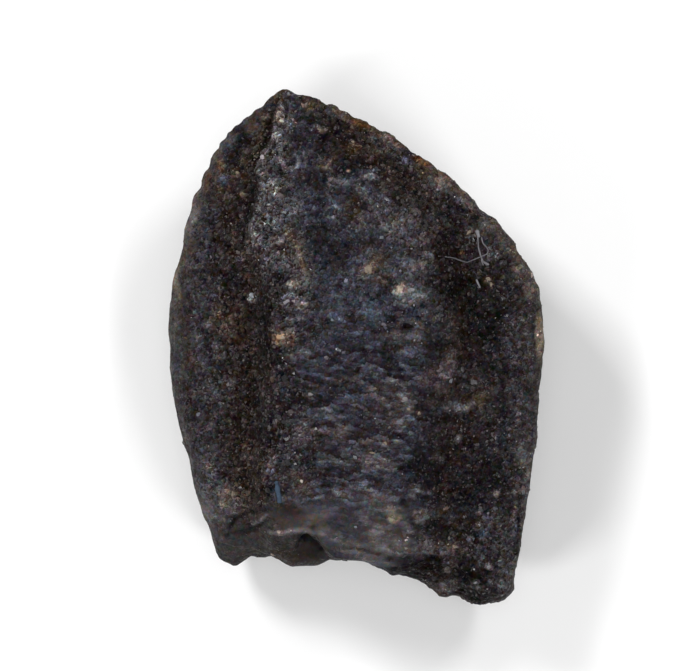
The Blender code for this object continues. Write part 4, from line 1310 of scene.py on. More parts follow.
class ReliefTree(NodeForm):
    """Cobbles, fine grain, streaks and swells, raised along the normals."""

    def __init__(self) -> None:
        """Builds the tree."""
        super().__init__(
            "enamel_relief",
            ("cobble_size", "cobble_height", "grain_size", "grain_height", "streak_length",
             "streak_width", "streak_height", "swell_size", "swell_height"),
        )
        weave, entry = self.weave, self.entry
        position = weave.node("GeometryNodeInputPosition").outputs[0]
        place = weave.vector("MULTIPLY", position, (1.0, 1.0, UPRIGHT))
        bent = weave.sway(place, 0.20, 2.0, 0.10)

        def scaled(size: str) -> bpy.types.NodeSocket:
            """One over a named size."""
            return weave.math("DIVIDE", 1.0, entry[size])

        def bumps(at: Value, scale: Value, height: str) -> Tuple[bpy.types.NodeSocket, bpy.types.NodeSocket]:
            """Rounded cells of a named height, and the cells' random values.

            Args:
                at: where they are read.
                scale: one over their size.
                height: the name of their height.

            Returns:
                The height, and three random numbers of each cell.
            """
            cell = weave.node("ShaderNodeTexVoronoi", {"Vector": at, "Scale": scale})
            dome = weave.span(cell.outputs["Distance"], 0.0, 0.75, 1.0, 0.0, smooth=True)
            luck = cell.outputs["Color"]
            tall = weave.node("ShaderNodeSeparateXYZ", {0: luck}).outputs[0]
            tall = weave.math("MULTIPLY_ADD", tall, 0.9, 0.55)
            lifted = weave.math("MULTIPLY", weave.math("SUBTRACT", dome, 0.5), tall)
            return weave.math("MULTIPLY", lifted, entry[height]), luck

        cobble, luck = bumps(bent, scaled("cobble_size"), "cobble_height")
        cobble = weave.math("MULTIPLY", cobble, self.ground(Ground.COBBLE))
        grain, _ = bumps(bent, scaled("grain_size"), "grain_height")
        gritty = weave.math("MULTIPLY_ADD", self.ground(Ground.GRIT), 0.8, 0.2)
        grain = weave.math("MULTIPLY", grain, gritty)
        stretch = weave.node(
            "ShaderNodeCombineXYZ",
            {0: scaled("streak_length"), 1: scaled("streak_width"), 2: scaled("streak_width")},
        ).outputs[0]
        lens, lens_luck = bumps(weave.vector("MULTIPLY", weave.turned(bent, STREAK_TURN), stretch), 1.0,
                                "streak_height")
        streaked = self.ground(Ground.STREAK)
        streak = weave.math("MULTIPLY", lens, streaked)
        cobble = weave.math("MULTIPLY", cobble, weave.math("SUBTRACT", 1.0, streaked))
        luck = weave.blend(streaked, luck, lens_luck)
        swell = weave.node(
            "ShaderNodeTexNoise", {"Vector": place, "Scale": scaled("swell_size"), "Detail": 3.0}
        ).outputs[0]
        swell = weave.math("MULTIPLY", weave.math("MULTIPLY_ADD", swell, 2.0, -1.0), entry["swell_height"])
        height = weave.math("ADD", weave.math("ADD", cobble, grain), weave.math("ADD", streak, swell))
        normal = weave.node("GeometryNodeInputNormal").outputs[0]

        geometry = self.keep(entry["Geometry"], Ground.REST, place, "FLOAT_VECTOR")
        geometry = self.keep(geometry, Ground.RELIEF, height)
        geometry = self.keep(geometry, Ground.LUCK, luck, "FLOAT_VECTOR")
        moved = weave.node(
            "GeometryNodeSetPosition",
            {"Geometry": geometry, "Offset": weave.vector("SCALE", normal, height)},
        )
        self.close(moved.outputs[0])


# --- Grains on the skin -----------------------------------------------------------------------


class CrumbTree(NodeForm):
    """Small angular crumbs strewn over a skin, flat to it and part sunk in it."""

    def __init__(self, where: Ground) -> None:
        """Builds the tree.

        Args:
            where: the attribute that says how thickly they lie.
        """
        super().__init__(
            "crumbs", ("density", "smallest", "largest", "length", "spin", "tilt", "sunk", "seed")
        )
        weave, entry = self.weave, self.entry
        strewn = weave.node(
            "GeometryNodeDistributePointsOnFaces",
            {"Mesh": entry["Geometry"], "Seed": entry["seed"],
             "Density": weave.math("MULTIPLY", entry["density"], self.ground(where))},
            distribute_method="RANDOM",
        )
        crumb = weave.node("GeometryNodeMeshIcoSphere", {"Radius": 1.0, "Subdivisions": 1}).outputs[0]
        squared = weave.math("POWER", self.chance(0.0, 1.0, 3), 1.6)
        growth = weave.math("SUBTRACT", entry["largest"], entry["smallest"])
        size = weave.math("MULTIPLY_ADD", squared, growth, entry["smallest"])
        long = weave.node("ShaderNodeCombineXYZ", {0: entry["length"], 1: 1.0, 2: 0.6}).outputs[0]
        shape = weave.vector("MULTIPLY", self.chances((0.7,) * 3, (1.2,) * 3, 4), long)
        shape = weave.vector("SCALE", shape, size)
        level = weave.node(
            "FunctionNodeAxesToRotation",
            {"Primary Axis": strewn.outputs["Normal"], "Secondary Axis": (1.0, -0.14, 0.0)},
            primary_axis="Z", secondary_axis="X",
        ).outputs[0]
        lean = weave.node("ShaderNodeCombineXYZ", {0: entry["tilt"], 1: entry["tilt"], 2: entry["spin"]})
        lean = weave.vector("MULTIPLY", self.chances((-1.0,) * 3, (1.0,) * 3, 5), lean.outputs[0])
        turned = weave.node(
            "FunctionNodeRotateRotation",
            {"Rotation": level, "Rotate By": weave.node("FunctionNodeEulerToRotation", {0: lean}).outputs[0]},
            rotation_space="LOCAL",
        ).outputs[0]
        sunk = weave.vector("SCALE", strewn.outputs["Normal"], weave.product(size, entry["sunk"], -1.0))
        lowered = weave.node(
            "GeometryNodeSetPosition", {"Geometry": strewn.outputs["Points"], "Offset": sunk}
        ).outputs[0]
        placed = weave.node(
            "GeometryNodeInstanceOnPoints",
            {"Points": lowered, "Instance": crumb, "Rotation": turned, "Scale": shape},
        )
        self.close(self.keep(placed.outputs[0], Ground.LUCK, self.chances((0.0,) * 3, (1.0,) * 3, 6),
                             "FLOAT_VECTOR", "INSTANCE"))

    def chance(self, low: float, high: float, salt: int) -> bpy.types.NodeSocket:
        """A random number for each crumb."""
        feeds = {2: low, 3: high, "Seed": salt}
        return self.weave.node("FunctionNodeRandomValue", feeds, data_type="FLOAT").outputs[1]

    def chances(self, low: Colour, high: Colour, salt: int) -> bpy.types.NodeSocket:
        """Three random numbers for each crumb."""
        feeds = {0: low, 1: high, "Seed": salt}
        return self.weave.node("FunctionNodeRandomValue", feeds, data_type="FLOAT_VECTOR").outputs[0]


@dataclass
class MineralGrit:
    """Crumbs of one kind, strewn over the skin. Lengths are in millimetres, turns in radians."""

    name: str
    where: Ground
    density: float
    smallest: float
    largest: float
    length: float
    spin: float
    tilt: float
    sunk: float
    seed: float

    def build(self, skin: bpy.types.Object, finish: "GritFinish") -> bpy.types.Object:
        """Strews the crumbs.

        Args:
            skin: the finished skin.
            finish: what the crumbs are dressed in.

        Returns:
            The finished piece.
        """
        mesh = skin.data.copy()
        mesh.transform(Matrix.Scale(1 / MM, 4))
        obj = add_object(self.name, mesh)
        CrumbTree(self.where).apply(obj, self, finish.material())
        set_down(obj.data)
        LOG.info("%s: %d triangles", self.name, len(obj.data.polygons))
        return obj


# --- Grains and threads that lie on the skin --------------------------------------------------


class Footing:
    """Finds the finished skin under a place in plan, in millimetres."""

    def __init__(self, skin: bpy.types.Object) -> None:
        """Reads the skin.

        Args:
            skin: the finished skin, in metres.
        """
        mesh = skin.data
        self.tree = BVHTree.FromPolygons(
            [vertex.co / MM for vertex in mesh.vertices], [tuple(face.vertices) for face in mesh.polygons]
        )

    def under(self, place: Point2) -> Tuple[Vector, Vector]:
        """The point of the skin under a place, and the skin's normal there.

        Args:
            place: x and y in millimetres.

        Returns:
            The point and the normal.
        """
        point, normal, _, _ = self.tree.ray_cast(Vector((*place, 20.0)), Vector((0.0, 0.0, -1.0)))
        if point is None:
            point, normal, _, _ = self.tree.find_nearest(Vector((*place, 1.5)))
        return point, normal


@dataclass(frozen=True)
class Pebble:
    """A grain of another mineral, part sunk in the face.

    Place and radii (length, width, height) are in millimetres; turn is in degrees.
    """

    name: str
    place: Point2
    radii: Tuple[float, float, float]
    mineral: Mineral
    turn: float = 0.0

    def halo(self) -> Stain:
        """The soft stain that the grain leaves round it."""
        long, wide, _ = self.radii
        return Stain(f"{self.name}_halo", self.place, (1.5 * long, 1.6 * wide), self.mineral, 0.35, self.turn)


def pebbles(*rows: Sequence) -> Tuple[Pebble, ...]:
    """Makes grains of rows of name, x, y, length, width, height, mineral and turn."""
    return tuple(Pebble(row[0], row[1:3], row[3:6], *row[6:]) for row in rows)


PEBBLES = pebbles(
    ("crest_cream", -1.37, 4.16, 0.12, 0.045, 0.035, CREAM, 76),
    ("crest_bead", -1.41, 3.7, 0.07, 0.045, 0.03, CHALK, 80),
    ("furrow_yellow", -1.62, 4.12, 0.055, 0.035, 0.03, SAND, 40),
    ("tip_white", -0.65, 3.9, 0.07, 0.045, 0.03, SAND, -20),
    ("olive_bead", -0.06, 3.68, 0.05, 0.035, 0.03, SAND),
    ("tan_grain", 0.2, 1.38, 0.15, 0.1, 0.06, SAND, 40),
    ("tan_grain_top", 0.25, 1.43, 0.07, 0.06, 0.06, CREAM),
    ("orange_grain", -1.33, 0.19, 0.12, 0.1, 0.07, ORANGE, 60),
    ("orange_top", -1.31, 0.2, 0.06, 0.05, 0.07, CREAM, 20),
    ("cream_grain", 0.76, 1.05, 0.1, 0.08, 0.05, CREAM, 70),
    ("halo_white", 0.97, 1.02, 0.09, 0.06, 0.05, LINT, 10),
    ("halo_side", 1.1, 0.94, 0.07, 0.05, 0.04, LINT, -30),
    ("halo_low", 0.86, 0.84, 0.06, 0.04, 0.03, CHALK, 30),
    ("blue_white", -1.86, 0.93, 0.07, 0.04, 0.03, LINT, 40),
    ("patch_white", 1.03, 0.13, 0.06, 0.04, 0.03, LINT, -40),
    ("lint_grain", 2.02, 2.06, 0.07, 0.04, 0.03, SAND, 60),
    ("low_white", 0.84, -0.91, 0.08, 0.06, 0.05, CHALK, -10),
    ("low_cream", 0.95, -1.1, 0.05, 0.05, 0.04, SAND),
    ("low_cream_right", 1.12, -1.17, 0.05, 0.045, 0.04, SAND),
    ("low_yellow", 0.32, -0.72, 0.055, 0.04, 0.03, SAND),
    ("left_white", -0.82, -0.83, 0.065, 0.035, 0.03, CHALK, -10),
    ("left_small", -0.6, -1.08, 0.04, 0.03, 0.03, CHALK),
    ("low_long", 0.28, -1.87, 0.07, 0.03, 0.03, SAND, -6),
    ("low_mid", 0.52, -1.7, 0.05, 0.05, 0.03, SAND, 50),
    ("right_blue", 1.83, -1.63, 0.05, 0.05, 0.04, LINT),
    ("right_bead", 2.5, -1.62, 0.03, 0.05, 0.04, CHALK),
    ("right_bead_low", 2.48, -1.82, 0.035, 0.04, 0.04, CHALK),
    ("groove_bead", 2.5, 1.62, 0.03, 0.055, 0.04, LINT),
    ("groove_cream", 2.36, 1.23, 0.05, 0.045, 0.04, SAND),
    ("groove_cream_low", 2.42, 1.12, 0.03, 0.055, 0.03, SAND, 15),
    ("yellow_dot", 1.88, 1.68, 0.03, 0.028, 0.03, AMBER),
    ("tan_side", 1.5, -0.35, 0.09, 0.08, 0.05, ROSE, 30),
    ("ash_side", 1.9, -0.38, 0.08, 0.06, 0.05, ASH, 100),
    ("green_side", 2.1, -0.62, 0.09, 0.07, 0.05, ASH),
    ("sand_low_left", -2.22, -2.62, 0.09, 0.07, 0.05, SAND, 90),
    ("sand_beside", -2.4, -2.58, 0.07, 0.06, 0.04, ROSE, 30),
    ("rosy_bead", -2.3, -0.66, 0.07, 0.06, 0.04, CHALK),
    ("corner_white", 2.38, -3.95, 0.05, 0.05, 0.04, LINT),
    ("hollow_white", 2.13, -4.23, 0.045, 0.035, 0.03, LINT),
    ("cluster_blue", 2.22, -3.2, 0.05, 0.05, 0.04, LINT),
)


@dataclass
class Pebbles:
    """The named grains, as one mesh."""

    pebbles: Tuple[Pebble, ...] = PEBBLES
    facets: int = 14
    sunk: float = 0.55
    rounds: int = 3

    def build(self, footing: Footing, finish: "PebbleFinish") -> bpy.types.Object:
        """Makes the grains.

        Args:
            footing: the skin that they lie on.
            finish: what they are dressed in.

        Returns:
            The finished piece.
        """
        work = bmesh.new()
        tints: List[Colour] = []
        for number, pebble in enumerate(self.pebbles):
            made = bmesh.ops.create_icosphere(work, subdivisions=self.rounds, radius=1.0)["verts"]
            self.shape(made, number)
            point, normal = footing.under(pebble.place)
            rise = (normal + Vector((0.0, 0.0, 1.0))).normalized()
            side = (Vector((1.0, 0.0, 0.0)) - rise * rise.x).normalized()
            lean = Matrix((side, rise.cross(side), rise)).transposed().to_4x4()
            turn = Matrix.Rotation(math.radians(pebble.turn), 4, "Z")
            size = Matrix.Diagonal((*pebble.radii, 1.0))
            seat = Matrix.Translation(point - normal * (pebble.radii[2] * self.sunk))
            bmesh.ops.transform(work, matrix=seat @ lean @ turn @ size, verts=made)
            tints += [pebble.mineral.value] * len(made)
        return finished(work, "pebbles", tints, finish.material())

    def shape(self, made: Sequence[bmesh.types.BMVert], number: int) -> None:
        """Cuts a few flat facets into a round grain.

        Args:
            made: the grain's points, at a radius of 1.
            number: of the grain, which seeds its facets.
        """
        draw = np.random.default_rng(100 + number)
        for _ in range(self.facets):
            way = Vector(draw.normal(size=3)).normalized()
            depth = draw.uniform(0.55, 0.9)
            for vertex in made:
                over = vertex.co.dot(way) - depth
                if over > 0:
                    vertex.co -= way * over


@dataclass(frozen=True)
class Thread:
    """A fibre that lies on the face. Points, radius and lift are in millimetres."""

    name: str
    points: Tuple[Point2, ...]
    radius: float
    mineral: Mineral
    lift: float = 0.01


THREADS = (
    Thread("lint_stem", ((2.17, 2.07), (2.18, 1.95), (2.19, 1.78), (2.23, 1.64), (2.27, 1.53), (2.35, 1.47)),
           0.013, FLUFF, 0.01),
    Thread("lint_head", ((2.16, 2.10), (2.18, 2.03), (2.20, 1.97)), 0.034, LINT, 0.02),
    Thread("lint_loop", ((2.24, 1.97), (2.27, 1.86), (2.34, 1.79), (2.37, 1.73), (2.34, 1.67), (2.22, 1.62),
                         (2.10, 1.57), (1.98, 1.52), (1.88, 1.55), (1.74, 1.60), (1.58, 1.62)),
           0.011, FLUFF, 0.01),
    Thread("lint_fray", ((2.24, 1.58), (2.26, 1.50), (2.28, 1.47)), 0.014, FLUFF, 0.015),
    Thread("lint_end", ((2.27, 1.54), (2.33, 1.50), (2.38, 1.48)), 0.016, FLUFF, 0.015),
    Thread("dash", ((2.15, 1.22), (2.18, 1.15), (2.22, 1.07)), 0.014, LINT),
    Thread("blue_fibre", ((-1.42, -2.37), (-1.40, -2.46), (-1.39, -2.56), (-1.36, -2.66), (-1.36, -2.76)),
           0.046, FIBRE, 0.015),
)


@dataclass
class Lint:
    """The loose fibres, as one mesh."""

    threads: Tuple[Thread, ...] = THREADS
    step: float = 0.012
    sides: int = 8
    flatness: float = 0.6
    calm: int = 7

    def build(self, footing: Footing, finish: "PebbleFinish") -> bpy.types.Object:
        """Makes the fibres.

        Args:
            footing: the skin that they lie on.
            finish: what they are dressed in.

        Returns:
            The finished piece.
        """
        work = bmesh.new()
        tints: List[Colour] = []
        for number, thread in enumerate(self.threads):
            before = len(work.verts)
            self.lay(work, self.path(thread, footing), thread.radius, number)
            tints += [thread.mineral.value] * (len(work.verts) - before)
        bmesh.ops.recalc_face_normals(work, faces=work.faces)
        return finished(work, "lint", tints, finish.material())

    def path(self, thread: Thread, footing: Footing) -> np.ndarray:
        """The fibre's middle line, smooth in plan and bridging the small pits.

        Args:
            thread: the fibre.
            footing: the skin that it lies on.

        Returns:
            Rows of x, y, z in millimetres.
        """
        knots = np.array(thread.points)
        spans = np.linalg.norm(np.diff(knots, axis=0), axis=1)
        along = np.concatenate([[0.0], np.cumsum(spans)])
        count = max(6, int(along[-1] / self.step))
        at = np.linspace(0.0, along[-1], count)
        plan = np.column_stack([np.interp(at, along, knots[:, k]) for k in (0, 1)])
        rows = np.array([[*spot, footing.under(tuple(spot))[0].z + thread.lift] for spot in plan])
        for _ in range(self.calm):
            rows[1:-1] = 0.5 * rows[1:-1] + 0.25 * (rows[:-2] + rows[2:])
        return rows

    def lay(self, work: bmesh.types.BMesh, rows: np.ndarray, radius: float, seed: int) -> None:
        """Sweeps a flat round section along a line, with closed ends.

        Args:
            work: the mesh that it goes into.
            rows: the middle line.
            radius: half its width, in millimetres.
            seed: of its uneven width.
        """
        wide = radius * (1 + 0.22 * wander(rows, 0.10, 50 + seed, 8))
        wide[0] *= 0.5
        wide[-1] *= 0.5
        rings = []
        for index, row in enumerate(rows):
            ahead = Vector(rows[min(index + 1, len(rows) - 1)] - rows[max(index - 1, 0)]).normalized()
            side = Vector((0.0, 0.0, 1.0)).cross(ahead).normalized()
            rise = ahead.cross(side)
            ring = []
            for turn in np.linspace(0, 2 * math.pi, self.sides, endpoint=False):
                off = side * math.cos(turn) + rise * (math.sin(turn) * self.flatness)
                ring.append(work.verts.new(Vector(row) + off * float(wide[index])))
            rings.append(ring)
        for first, second in zip(rings, rings[1:]):
            for here in range(self.sides):
                after = (here + 1) % self.sides
                work.faces.new((first[here], first[after], second[after], second[here]))
        work.faces.new(list(reversed(rings[0])))
        work.faces.new(rings[-1])


# --- Finishes ---------------------------------------------------------------------------------


def new_material(name: str) -> Tuple[bpy.types.Material, Weaver, bpy.types.Node]:
    """Starts a material.

    Args:
        name: of the material.

    Returns:
        The material, a weaver on its tree, and its shader node.
    """
    material = bpy.data.materials.new(name)
    material.use_nodes = True
    return material, Weaver(material.node_tree), material.node_tree.nodes["Principled BSDF"]


def ramp(weave: Weaver, share: Value, stops: Sequence[Tuple[float, Colour]]) -> bpy.types.NodeSocket:
    """Colours along a share from 0 to 1.

    Args:
        weave: the tree's weaver.
        share: what picks the colour.
        stops: places and colours.

    Returns:
        The colour.
    """
    made = weave.node("ShaderNodeValToRGB", {"Fac": share})
    elements = made.color_ramp.elements
    while len(elements) < len(stops):
        elements.new(1.0)
    for element, (position, colour) in zip(elements, stops):
        element.position = position
        element.color = rgba(colour)
    return made.outputs[0]


# How light and how coloured the single crystals are, over the stain where they lie.
CRYSTAL_LIGHT = (
    (0.00, (0.30, 0.30, 0.30)), (0.40, (0.65, 0.63, 0.64)), (0.75, (1.10, 1.06, 1.08)),
    (0.90, (1.90, 1.85, 1.86)), (0.97, (3.20, 3.10, 3.10)), (1.00, (4.60, 4.50, 4.40)),
)
CRYSTAL_HUE = (
    (0.00, (1.22, 0.98, 0.72)), (0.12, (1.12, 0.94, 0.95)), (0.30, (1.08, 0.95, 1.06)),
    (0.50, (1.00, 1.00, 1.00)), (0.68, (0.93, 1.02, 0.96)), (0.82, (0.92, 1.00, 1.12)),
    (0.92, (1.08, 1.06, 0.84)), (1.00, (0.86, 1.04, 1.12)),
)
# How light the larger angular crystals and the long flakes are.
FACET_LIGHT = (
    (0.00, (0.56, 0.49, 0.47)), (0.45, (0.84, 0.80, 0.81)), (0.75, (1.06, 1.06, 1.12)),
    (0.90, (1.58, 1.57, 1.63)), (1.00, (2.30, 2.27, 2.20)),
)
FLAKE_LIGHT = (
    (0.00, (0.62, 0.52, 0.50)), (0.40, (0.84, 0.83, 0.85)), (0.70, (1.10, 1.14, 1.20)),
    (0.90, (1.45, 1.50, 1.56)), (1.00, (2.10, 2.10, 2.00)),
)
# Painted shade colour: where the painted light is low, in the hollows and on the crystals' shaded sides, the
# colour turns warm; where it is high, a little cool.
SHADE_HUE = ((0.0, (1.30, 0.84, 0.82)), (0.35, (1.05, 0.97, 0.98)), (1.0, (0.95, 1.02, 1.03)))


@dataclass(frozen=True)
class FossilFinish:
    """Dark granular enamel with a dull sheen, with painted shade in its hollows and painted light and shade
    on its crystals. Sizes are in millimetres.
    """

    name: str = "fossil_enamel"
    fleck_size: float = 0.040
    facet_size: float = 0.105
    flake_size: Colour = (0.27, 0.085, 0.14)
    flake_turn: float = 12.0
    speck_size: float = 0.052
    speck_share: float = 0.6
    fine_size: float = 0.034
    patch_size: float = 0.20
    line_size: float = 0.055
    hue_size: float = 0.10
    wear: float = 0.55
    bump: float = 0.008
    cast: float = 2.8
    gloss: float = 0.02

    def material(self) -> bpy.types.Material:
        """Builds the material.

        Returns:
            The material.
        """
        material, weave, shader = new_material(self.name)
        rest = weave.sway(weave.read(Ground.REST, "Vector"), 0.07, 2.0, 0.12)
        relief, streak, crisp, bare = (
            weave.read(ground) for ground in (Ground.RELIEF, Ground.STREAK, Ground.GLINT, Ground.BARE)
        )
        cell_luck = weave.node("ShaderNodeSeparateXYZ", {0: weave.read(Ground.LUCK, "Vector")}).outputs
        fleck, speck, facet = (
            weave.cells(rest, size) for size in (self.fleck_size, self.speck_size, self.facet_size)
        )
        fleck_luck = weave.luck(fleck)
        along = weave.turned(weave.sway(rest, 0.60, 1.0, 0.25), self.flake_turn)
        along = weave.vector("DIVIDE", along, self.flake_size)
        flake = weave.cells(along, 1.0)
        seam = weave.cells(along, 1.0, "DISTANCE_TO_EDGE").outputs["Distance"]
        fine = weave.noise(rest, self.fine_size, 2.0, 0.7).outputs[0]
        patch, lines = (
            weave.noise(weave.vector("MULTIPLY", rest, stretch), size, detail, 0.6).outputs[0]
            for stretch, size, detail in (
                ((1.0, 1.0, 0.5), self.patch_size, 2.5), ((0.22, 1.0, 0.4), self.line_size, 2.0)
            )
        )
        shown = weave.math("MULTIPLY_ADD", crisp, 0.45, 0.40, clamp=True)
        calm = weave.math("MULTIPLY", bare, self.wear)

        # How light each spot is: painted shade in the low parts of the relief and painted light on its raised
        # parts, times broad patches and each cobble's own tone.
        light = weave.product(
            weave.span(relief, -0.05, 0.04, 0.08, 1.6), weave.span(patch, 0.36, 0.64, 0.70, 1.35),
            weave.span(cell_luck[0], 0.0, 1.0, 0.74, 1.26),
        )
        plain_share = weave.math("MULTIPLY_ADD", streak, -0.68, 1.0)
        for value, least, most in ((fleck_luck[0], 0.62, 0.80), (fine, 1.00, 1.20)):
            sharp = weave.product(weave.math("MULTIPLY_ADD", crisp, most - least, least), plain_share)
            light = weave.vary(light, weave.product(weave.math("SUBTRACT", value, 0.5), 2.0), sharp)
        # The first three waves are painted light and shade: each crystal and flake is lit on its upper-left
        # side and shaded on its lower-right. The last two are the streaks' lines and the dark seams between
        # flakes.
        for wave, share in (
            (weave.lean(rest, facet, (-2.5, 4.0, 1.0)), shown),
            (weave.lean(rest, fleck, (-13.0, 21.0, 6.0)), shown),
            (weave.lean(along, flake, (-0.2, 0.6, 0.1)), streak),
            (weave.span(lines, 0.35, 0.65, -0.30, 0.30), streak),
            (weave.span(seam, 0.0, 0.12, -0.36, 0.0), streak),
        ):
            light = weave.vary(light, wave, share)
        light = weave.math("ADD", light, weave.product(weave.math("SUBTRACT", 0.9, light), calm))

        # Its colour: the stain, the crystals' own light and hue, the warm tint of painted shade, and a cast
        # that wanders.
        crystal = weave.blend(shown, rgba((0.95,) * 3), ramp(weave, weave.luck(facet)[0], FACET_LIGHT))
        crystal = weave.blend(streak, crystal, ramp(weave, weave.luck(flake)[0], FLAKE_LIGHT))
        crystal = weave.blend(calm, crystal, rgba((0.9,) * 3))
        base = weave.dye(
            weave.read(Ground.TINT, "Color"), ramp(weave, fleck_luck[1], CRYSTAL_HUE),
            ramp(weave, weave.product(light, 0.5), SHADE_HUE), crystal,
        )
        base = weave.vector("SCALE", base, light)
        hues = weave.noise(rest, self.hue_size, 3.0, 0.75).outputs["Color"]
        hues = weave.vector("MULTIPLY", weave.vector("SUBTRACT", hues, (0.5,) * 3), (1.05, 0.50, 1.10))
        cast = weave.vector("ADD", weave.vector("SCALE", base, 0.5), (0.008,) * 3)
        cast = weave.vector("MULTIPLY", weave.vector("SCALE", hues, self.cast), cast)
        base = weave.vector("MAXIMUM", weave.vector("ADD", base, cast), (0.0,) * 3)
        # Pale specks, partly pale grains and partly painted glints.
        pale = weave.product(
            weave.span(weave.luck(speck)[0], 0.86, 0.90),
            weave.span(speck.outputs["Distance"], 0.30, 0.45, 1.0, 0.0),
            weave.product(shown, weave.math("SUBTRACT", 1.0, bare)), self.speck_share,
        )
        base = weave.blend(pale, base, rgba(CHALK.value))

        height = weave.math("ADD", weave.product(fleck.outputs["Distance"], -0.6), fine)
        bump = weave.node(
            "ShaderNodeBump",
            {"Strength": weave.math("SUBTRACT", 1.0, calm), "Distance": self.bump * MM, "Height": height},
        )
        weave.feed(shader.inputs["Normal"], bump.outputs[0])
        weave.dress(shader, base, weave.span(fleck_luck[2], 0.0, 1.0, 0.35, 0.80), self.gloss)
        return material


@dataclass(frozen=True)
class GritFinish:
    """Crystals of mixed minerals, some pale, some glassy."""

    name: str = "grit"
    gloss: float = 0.22
    smoothest: float = 0.10
    roughest: float = 0.60
    # How much white the brightest crumbs get; on the glints it is painted glint, over their real sheen.
    pale: float = 0.0
    cloud_size: float = 0.025

    def material(self) -> bpy.types.Material:
        """Builds the material.

        Returns:
            The material.
        """
        material, weave, shader = new_material(self.name)
        luck = weave.node("ShaderNodeSeparateXYZ", {0: weave.read(Ground.LUCK, "Vector")}).outputs
        inside = weave.noise(weave.own_place(), self.cloud_size, 2.0).outputs[0]
        base = weave.dye(
            weave.read(Ground.TINT, "Color"), ramp(weave, luck[0], CRYSTAL_LIGHT),
            ramp(weave, luck[1], CRYSTAL_HUE),
        )
        base = weave.vector("SCALE", base, weave.span(inside, 0.3, 0.7, 0.55, 1.45))
        # White added to the brightest crumbs: on the glints, painted glint.
        chalk = weave.node("ShaderNodeCombineColor", dict(enumerate(CHALK.value))).outputs[0]
        share = weave.product(weave.math("POWER", luck[0], 3.0), self.pale)
        base = weave.vector("ADD", base, weave.vector("SCALE", chalk, share))
        rough = weave.span(luck[2], 0.0, 1.0, self.smoothest, self.roughest)
        weave.dress(shader, base, rough, self.gloss)
        return material


@dataclass(frozen=True)
class PebbleFinish:
    """Clouded grains or fibres, each in its own colour."""

    name: str
    gloss: float = 0.3
    roughness: float = 0.45
    cloud_size: float = 0.05
    clouding: float = 0.5

    def material(self) -> bpy.types.Material:
        """Builds the material.

        Returns:
            The material.
        """
        material, weave, shader = new_material(self.name)
        cloud = weave.noise(weave.own_place(), self.cloud_size, 4.0, 0.6).outputs[0]
        light = weave.span(cloud, 0.3, 0.7, 1 - self.clouding, 1 + self.clouding)
        base = weave.vector("SCALE", weave.read(Ground.TINT, "Color"), light)
        weave.dress(shader, base, self.roughness, self.gloss)
        return material


@dataclass(frozen=True)
class FloorFinish:
    """Plain white board."""

    name: str = "white_board"
    colour: Colour = (0.90, 0.90, 0.90)
    roughness: float = 0.9
    gloss: float = 0.1

    def material(self) -> bpy.types.Material:
        """Builds the material.

        Returns:
            The material.
        """
        material, weave, shader = new_material(self.name)
        weave.dress(shader, rgba(self.colour), self.roughness, self.gloss)
        return material


# --- Studio -----------------------------------------------------------------------------------


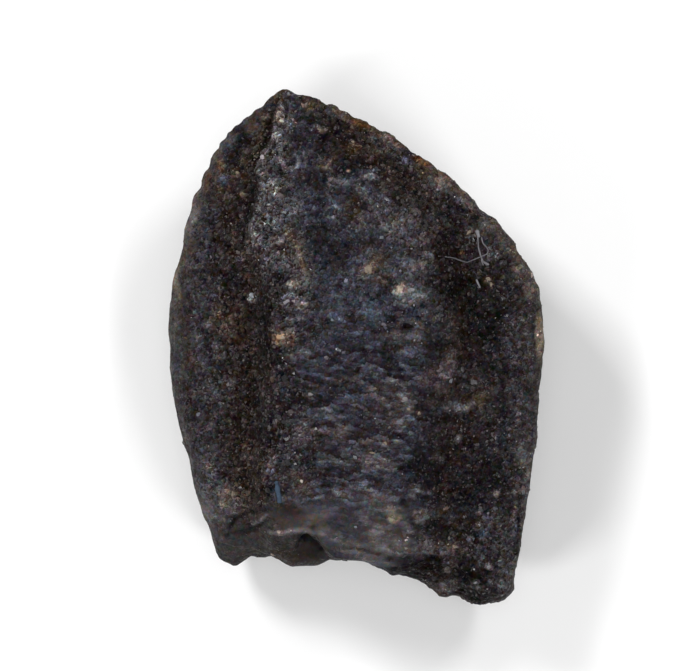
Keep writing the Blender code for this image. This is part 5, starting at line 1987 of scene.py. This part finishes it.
@dataclass
class Studio:
    """A white board, soft lights and a camera that looks straight down. Lengths are in metres."""

    view_width: float = 0.0126
    aim: Point2 = (-0.000108, 0.000216)
    aim_height: float = 0.0026
    distance: float = 0.120
    sensor: float = 36.0
    floor_radius: float = 0.6
    world_light: float = 0.15
    top_light: float = 0.040
    top_size: float = 0.05
    top_height: float = 0.16
    side_light: float = 0.064
    side_size: float = 0.03
    side_away: float = 0.09
    side_height: float = 0.10

    def build(self) -> None:
        """Sets up the board, the lights and the camera."""
        self.lay_board()
        self.hang_light("top_light", (0.0, 0.0, self.top_height), self.top_light, self.top_size)
        for name, turn, share in (
            ("upper_left", 135, 1.5), ("upper_right", 50, 0.8),
            ("lower_left", 215, 0.9), ("lower_right", 310, 0.8),
        ):
            way = math.radians(turn)
            away = (math.cos(way) * self.side_away, math.sin(way) * self.side_away, self.side_height)
            self.hang_light(name, away, self.side_light * share, self.side_size)
        self.fill_room()
        self.place_camera()

    def lay_board(self) -> None:
        """Lays the board that the tooth rests on."""
        work = bmesh.new()
        bmesh.ops.create_circle(work, cap_ends=True, segments=64, radius=self.floor_radius)
        board = add_object("board", mesh_of(work, "board"))
        board.data.materials.append(FloorFinish().material())

    def hang_light(self, name: str, place: Sequence[float], power: float, size: float) -> None:
        """Hangs a soft light that faces the tooth.

        Args:
            name: of the light.
            place: where it hangs, in metres.
            power: in watts.
            size: of its side, in metres.
        """
        data = bpy.data.lights.new(name, "AREA")
        data.energy = power
        data.size = size
        made = add_object(name, data)
        made.location = place
        aim = Vector((*self.aim, self.aim_height)) - Vector(place)
        made.rotation_euler = aim.to_track_quat("-Z", "Y").to_euler()

    def fill_room(self) -> None:
        """Fills the room with even white light."""
        world = bpy.data.worlds.new("room")
        world.use_nodes = True
        back = world.node_tree.nodes["Background"]
        back.inputs["Color"].default_value = (1.0, 1.0, 1.0, 1.0)
        back.inputs["Strength"].default_value = self.world_light
        bpy.context.scene.world = world
        bpy.context.scene.view_settings.view_transform = "Standard"

    def place_camera(self) -> None:
        """Places the camera straight above the tooth."""
        data = bpy.data.cameras.new("camera")
        data.sensor_width = self.sensor
        data.lens = self.sensor * self.distance / self.view_width
        data.clip_start = 0.001
        data.clip_end = 10.0
        camera = add_object("camera", data)
        camera.location = (*self.aim, self.aim_height + self.distance)
        bpy.context.scene.camera = camera


# --- Main -------------------------------------------------------------------------------------


def main() -> None:
    """Builds the dressed tooth and the studio."""
    logging.basicConfig(level=logging.INFO, format="%(name)s: %(message)s", stream=sys.stdout)
    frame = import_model()
    solid = frame["nodes"][NODE]

    skin = CrownSkin().build(solid, FossilFinish())
    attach(skin, BODY)
    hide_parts(NODE)
    LOG.info("skin: %d triangles", len(skin.data.polygons))

    # The glints are tiny crumbs made pale: painted glints over a real sheen.
    for grit, pale in (
        (MineralGrit("crystal_grains", Ground.GRIT, 70.0, 0.020, 0.070, 1.2, math.pi, 0.70, 0.45, 1), 0.0),
        (MineralGrit("enamel_scales", Ground.STREAK, 14.0, 0.020, 0.060, 2.2, 0.25, 0.30, 0.60, 2), 0.0),
        (MineralGrit("glints", Ground.GLINT, 45.0, 0.008, 0.018, 1.3, math.pi, 0.90, 0.20, 3), 0.7),
    ):
        made = grit.build(skin, GritFinish(grit.name, pale=pale))
        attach(made, BODY)

    footing = Footing(skin)
    fibre = PebbleFinish("lint_fibre", gloss=0.1, roughness=0.6, cloud_size=0.08, clouding=0.25)
    for made in (
        Pebbles().build(footing, PebbleFinish("pebble_mineral")),
        Lint().build(footing, fibre),
    ):
        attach(made, BODY)
        LOG.info("%s: %d triangles", made.name, sum(len(face.vertices) - 2 for face in made.data.polygons))

    Studio().build()


if __name__ == "__main__":
    main()
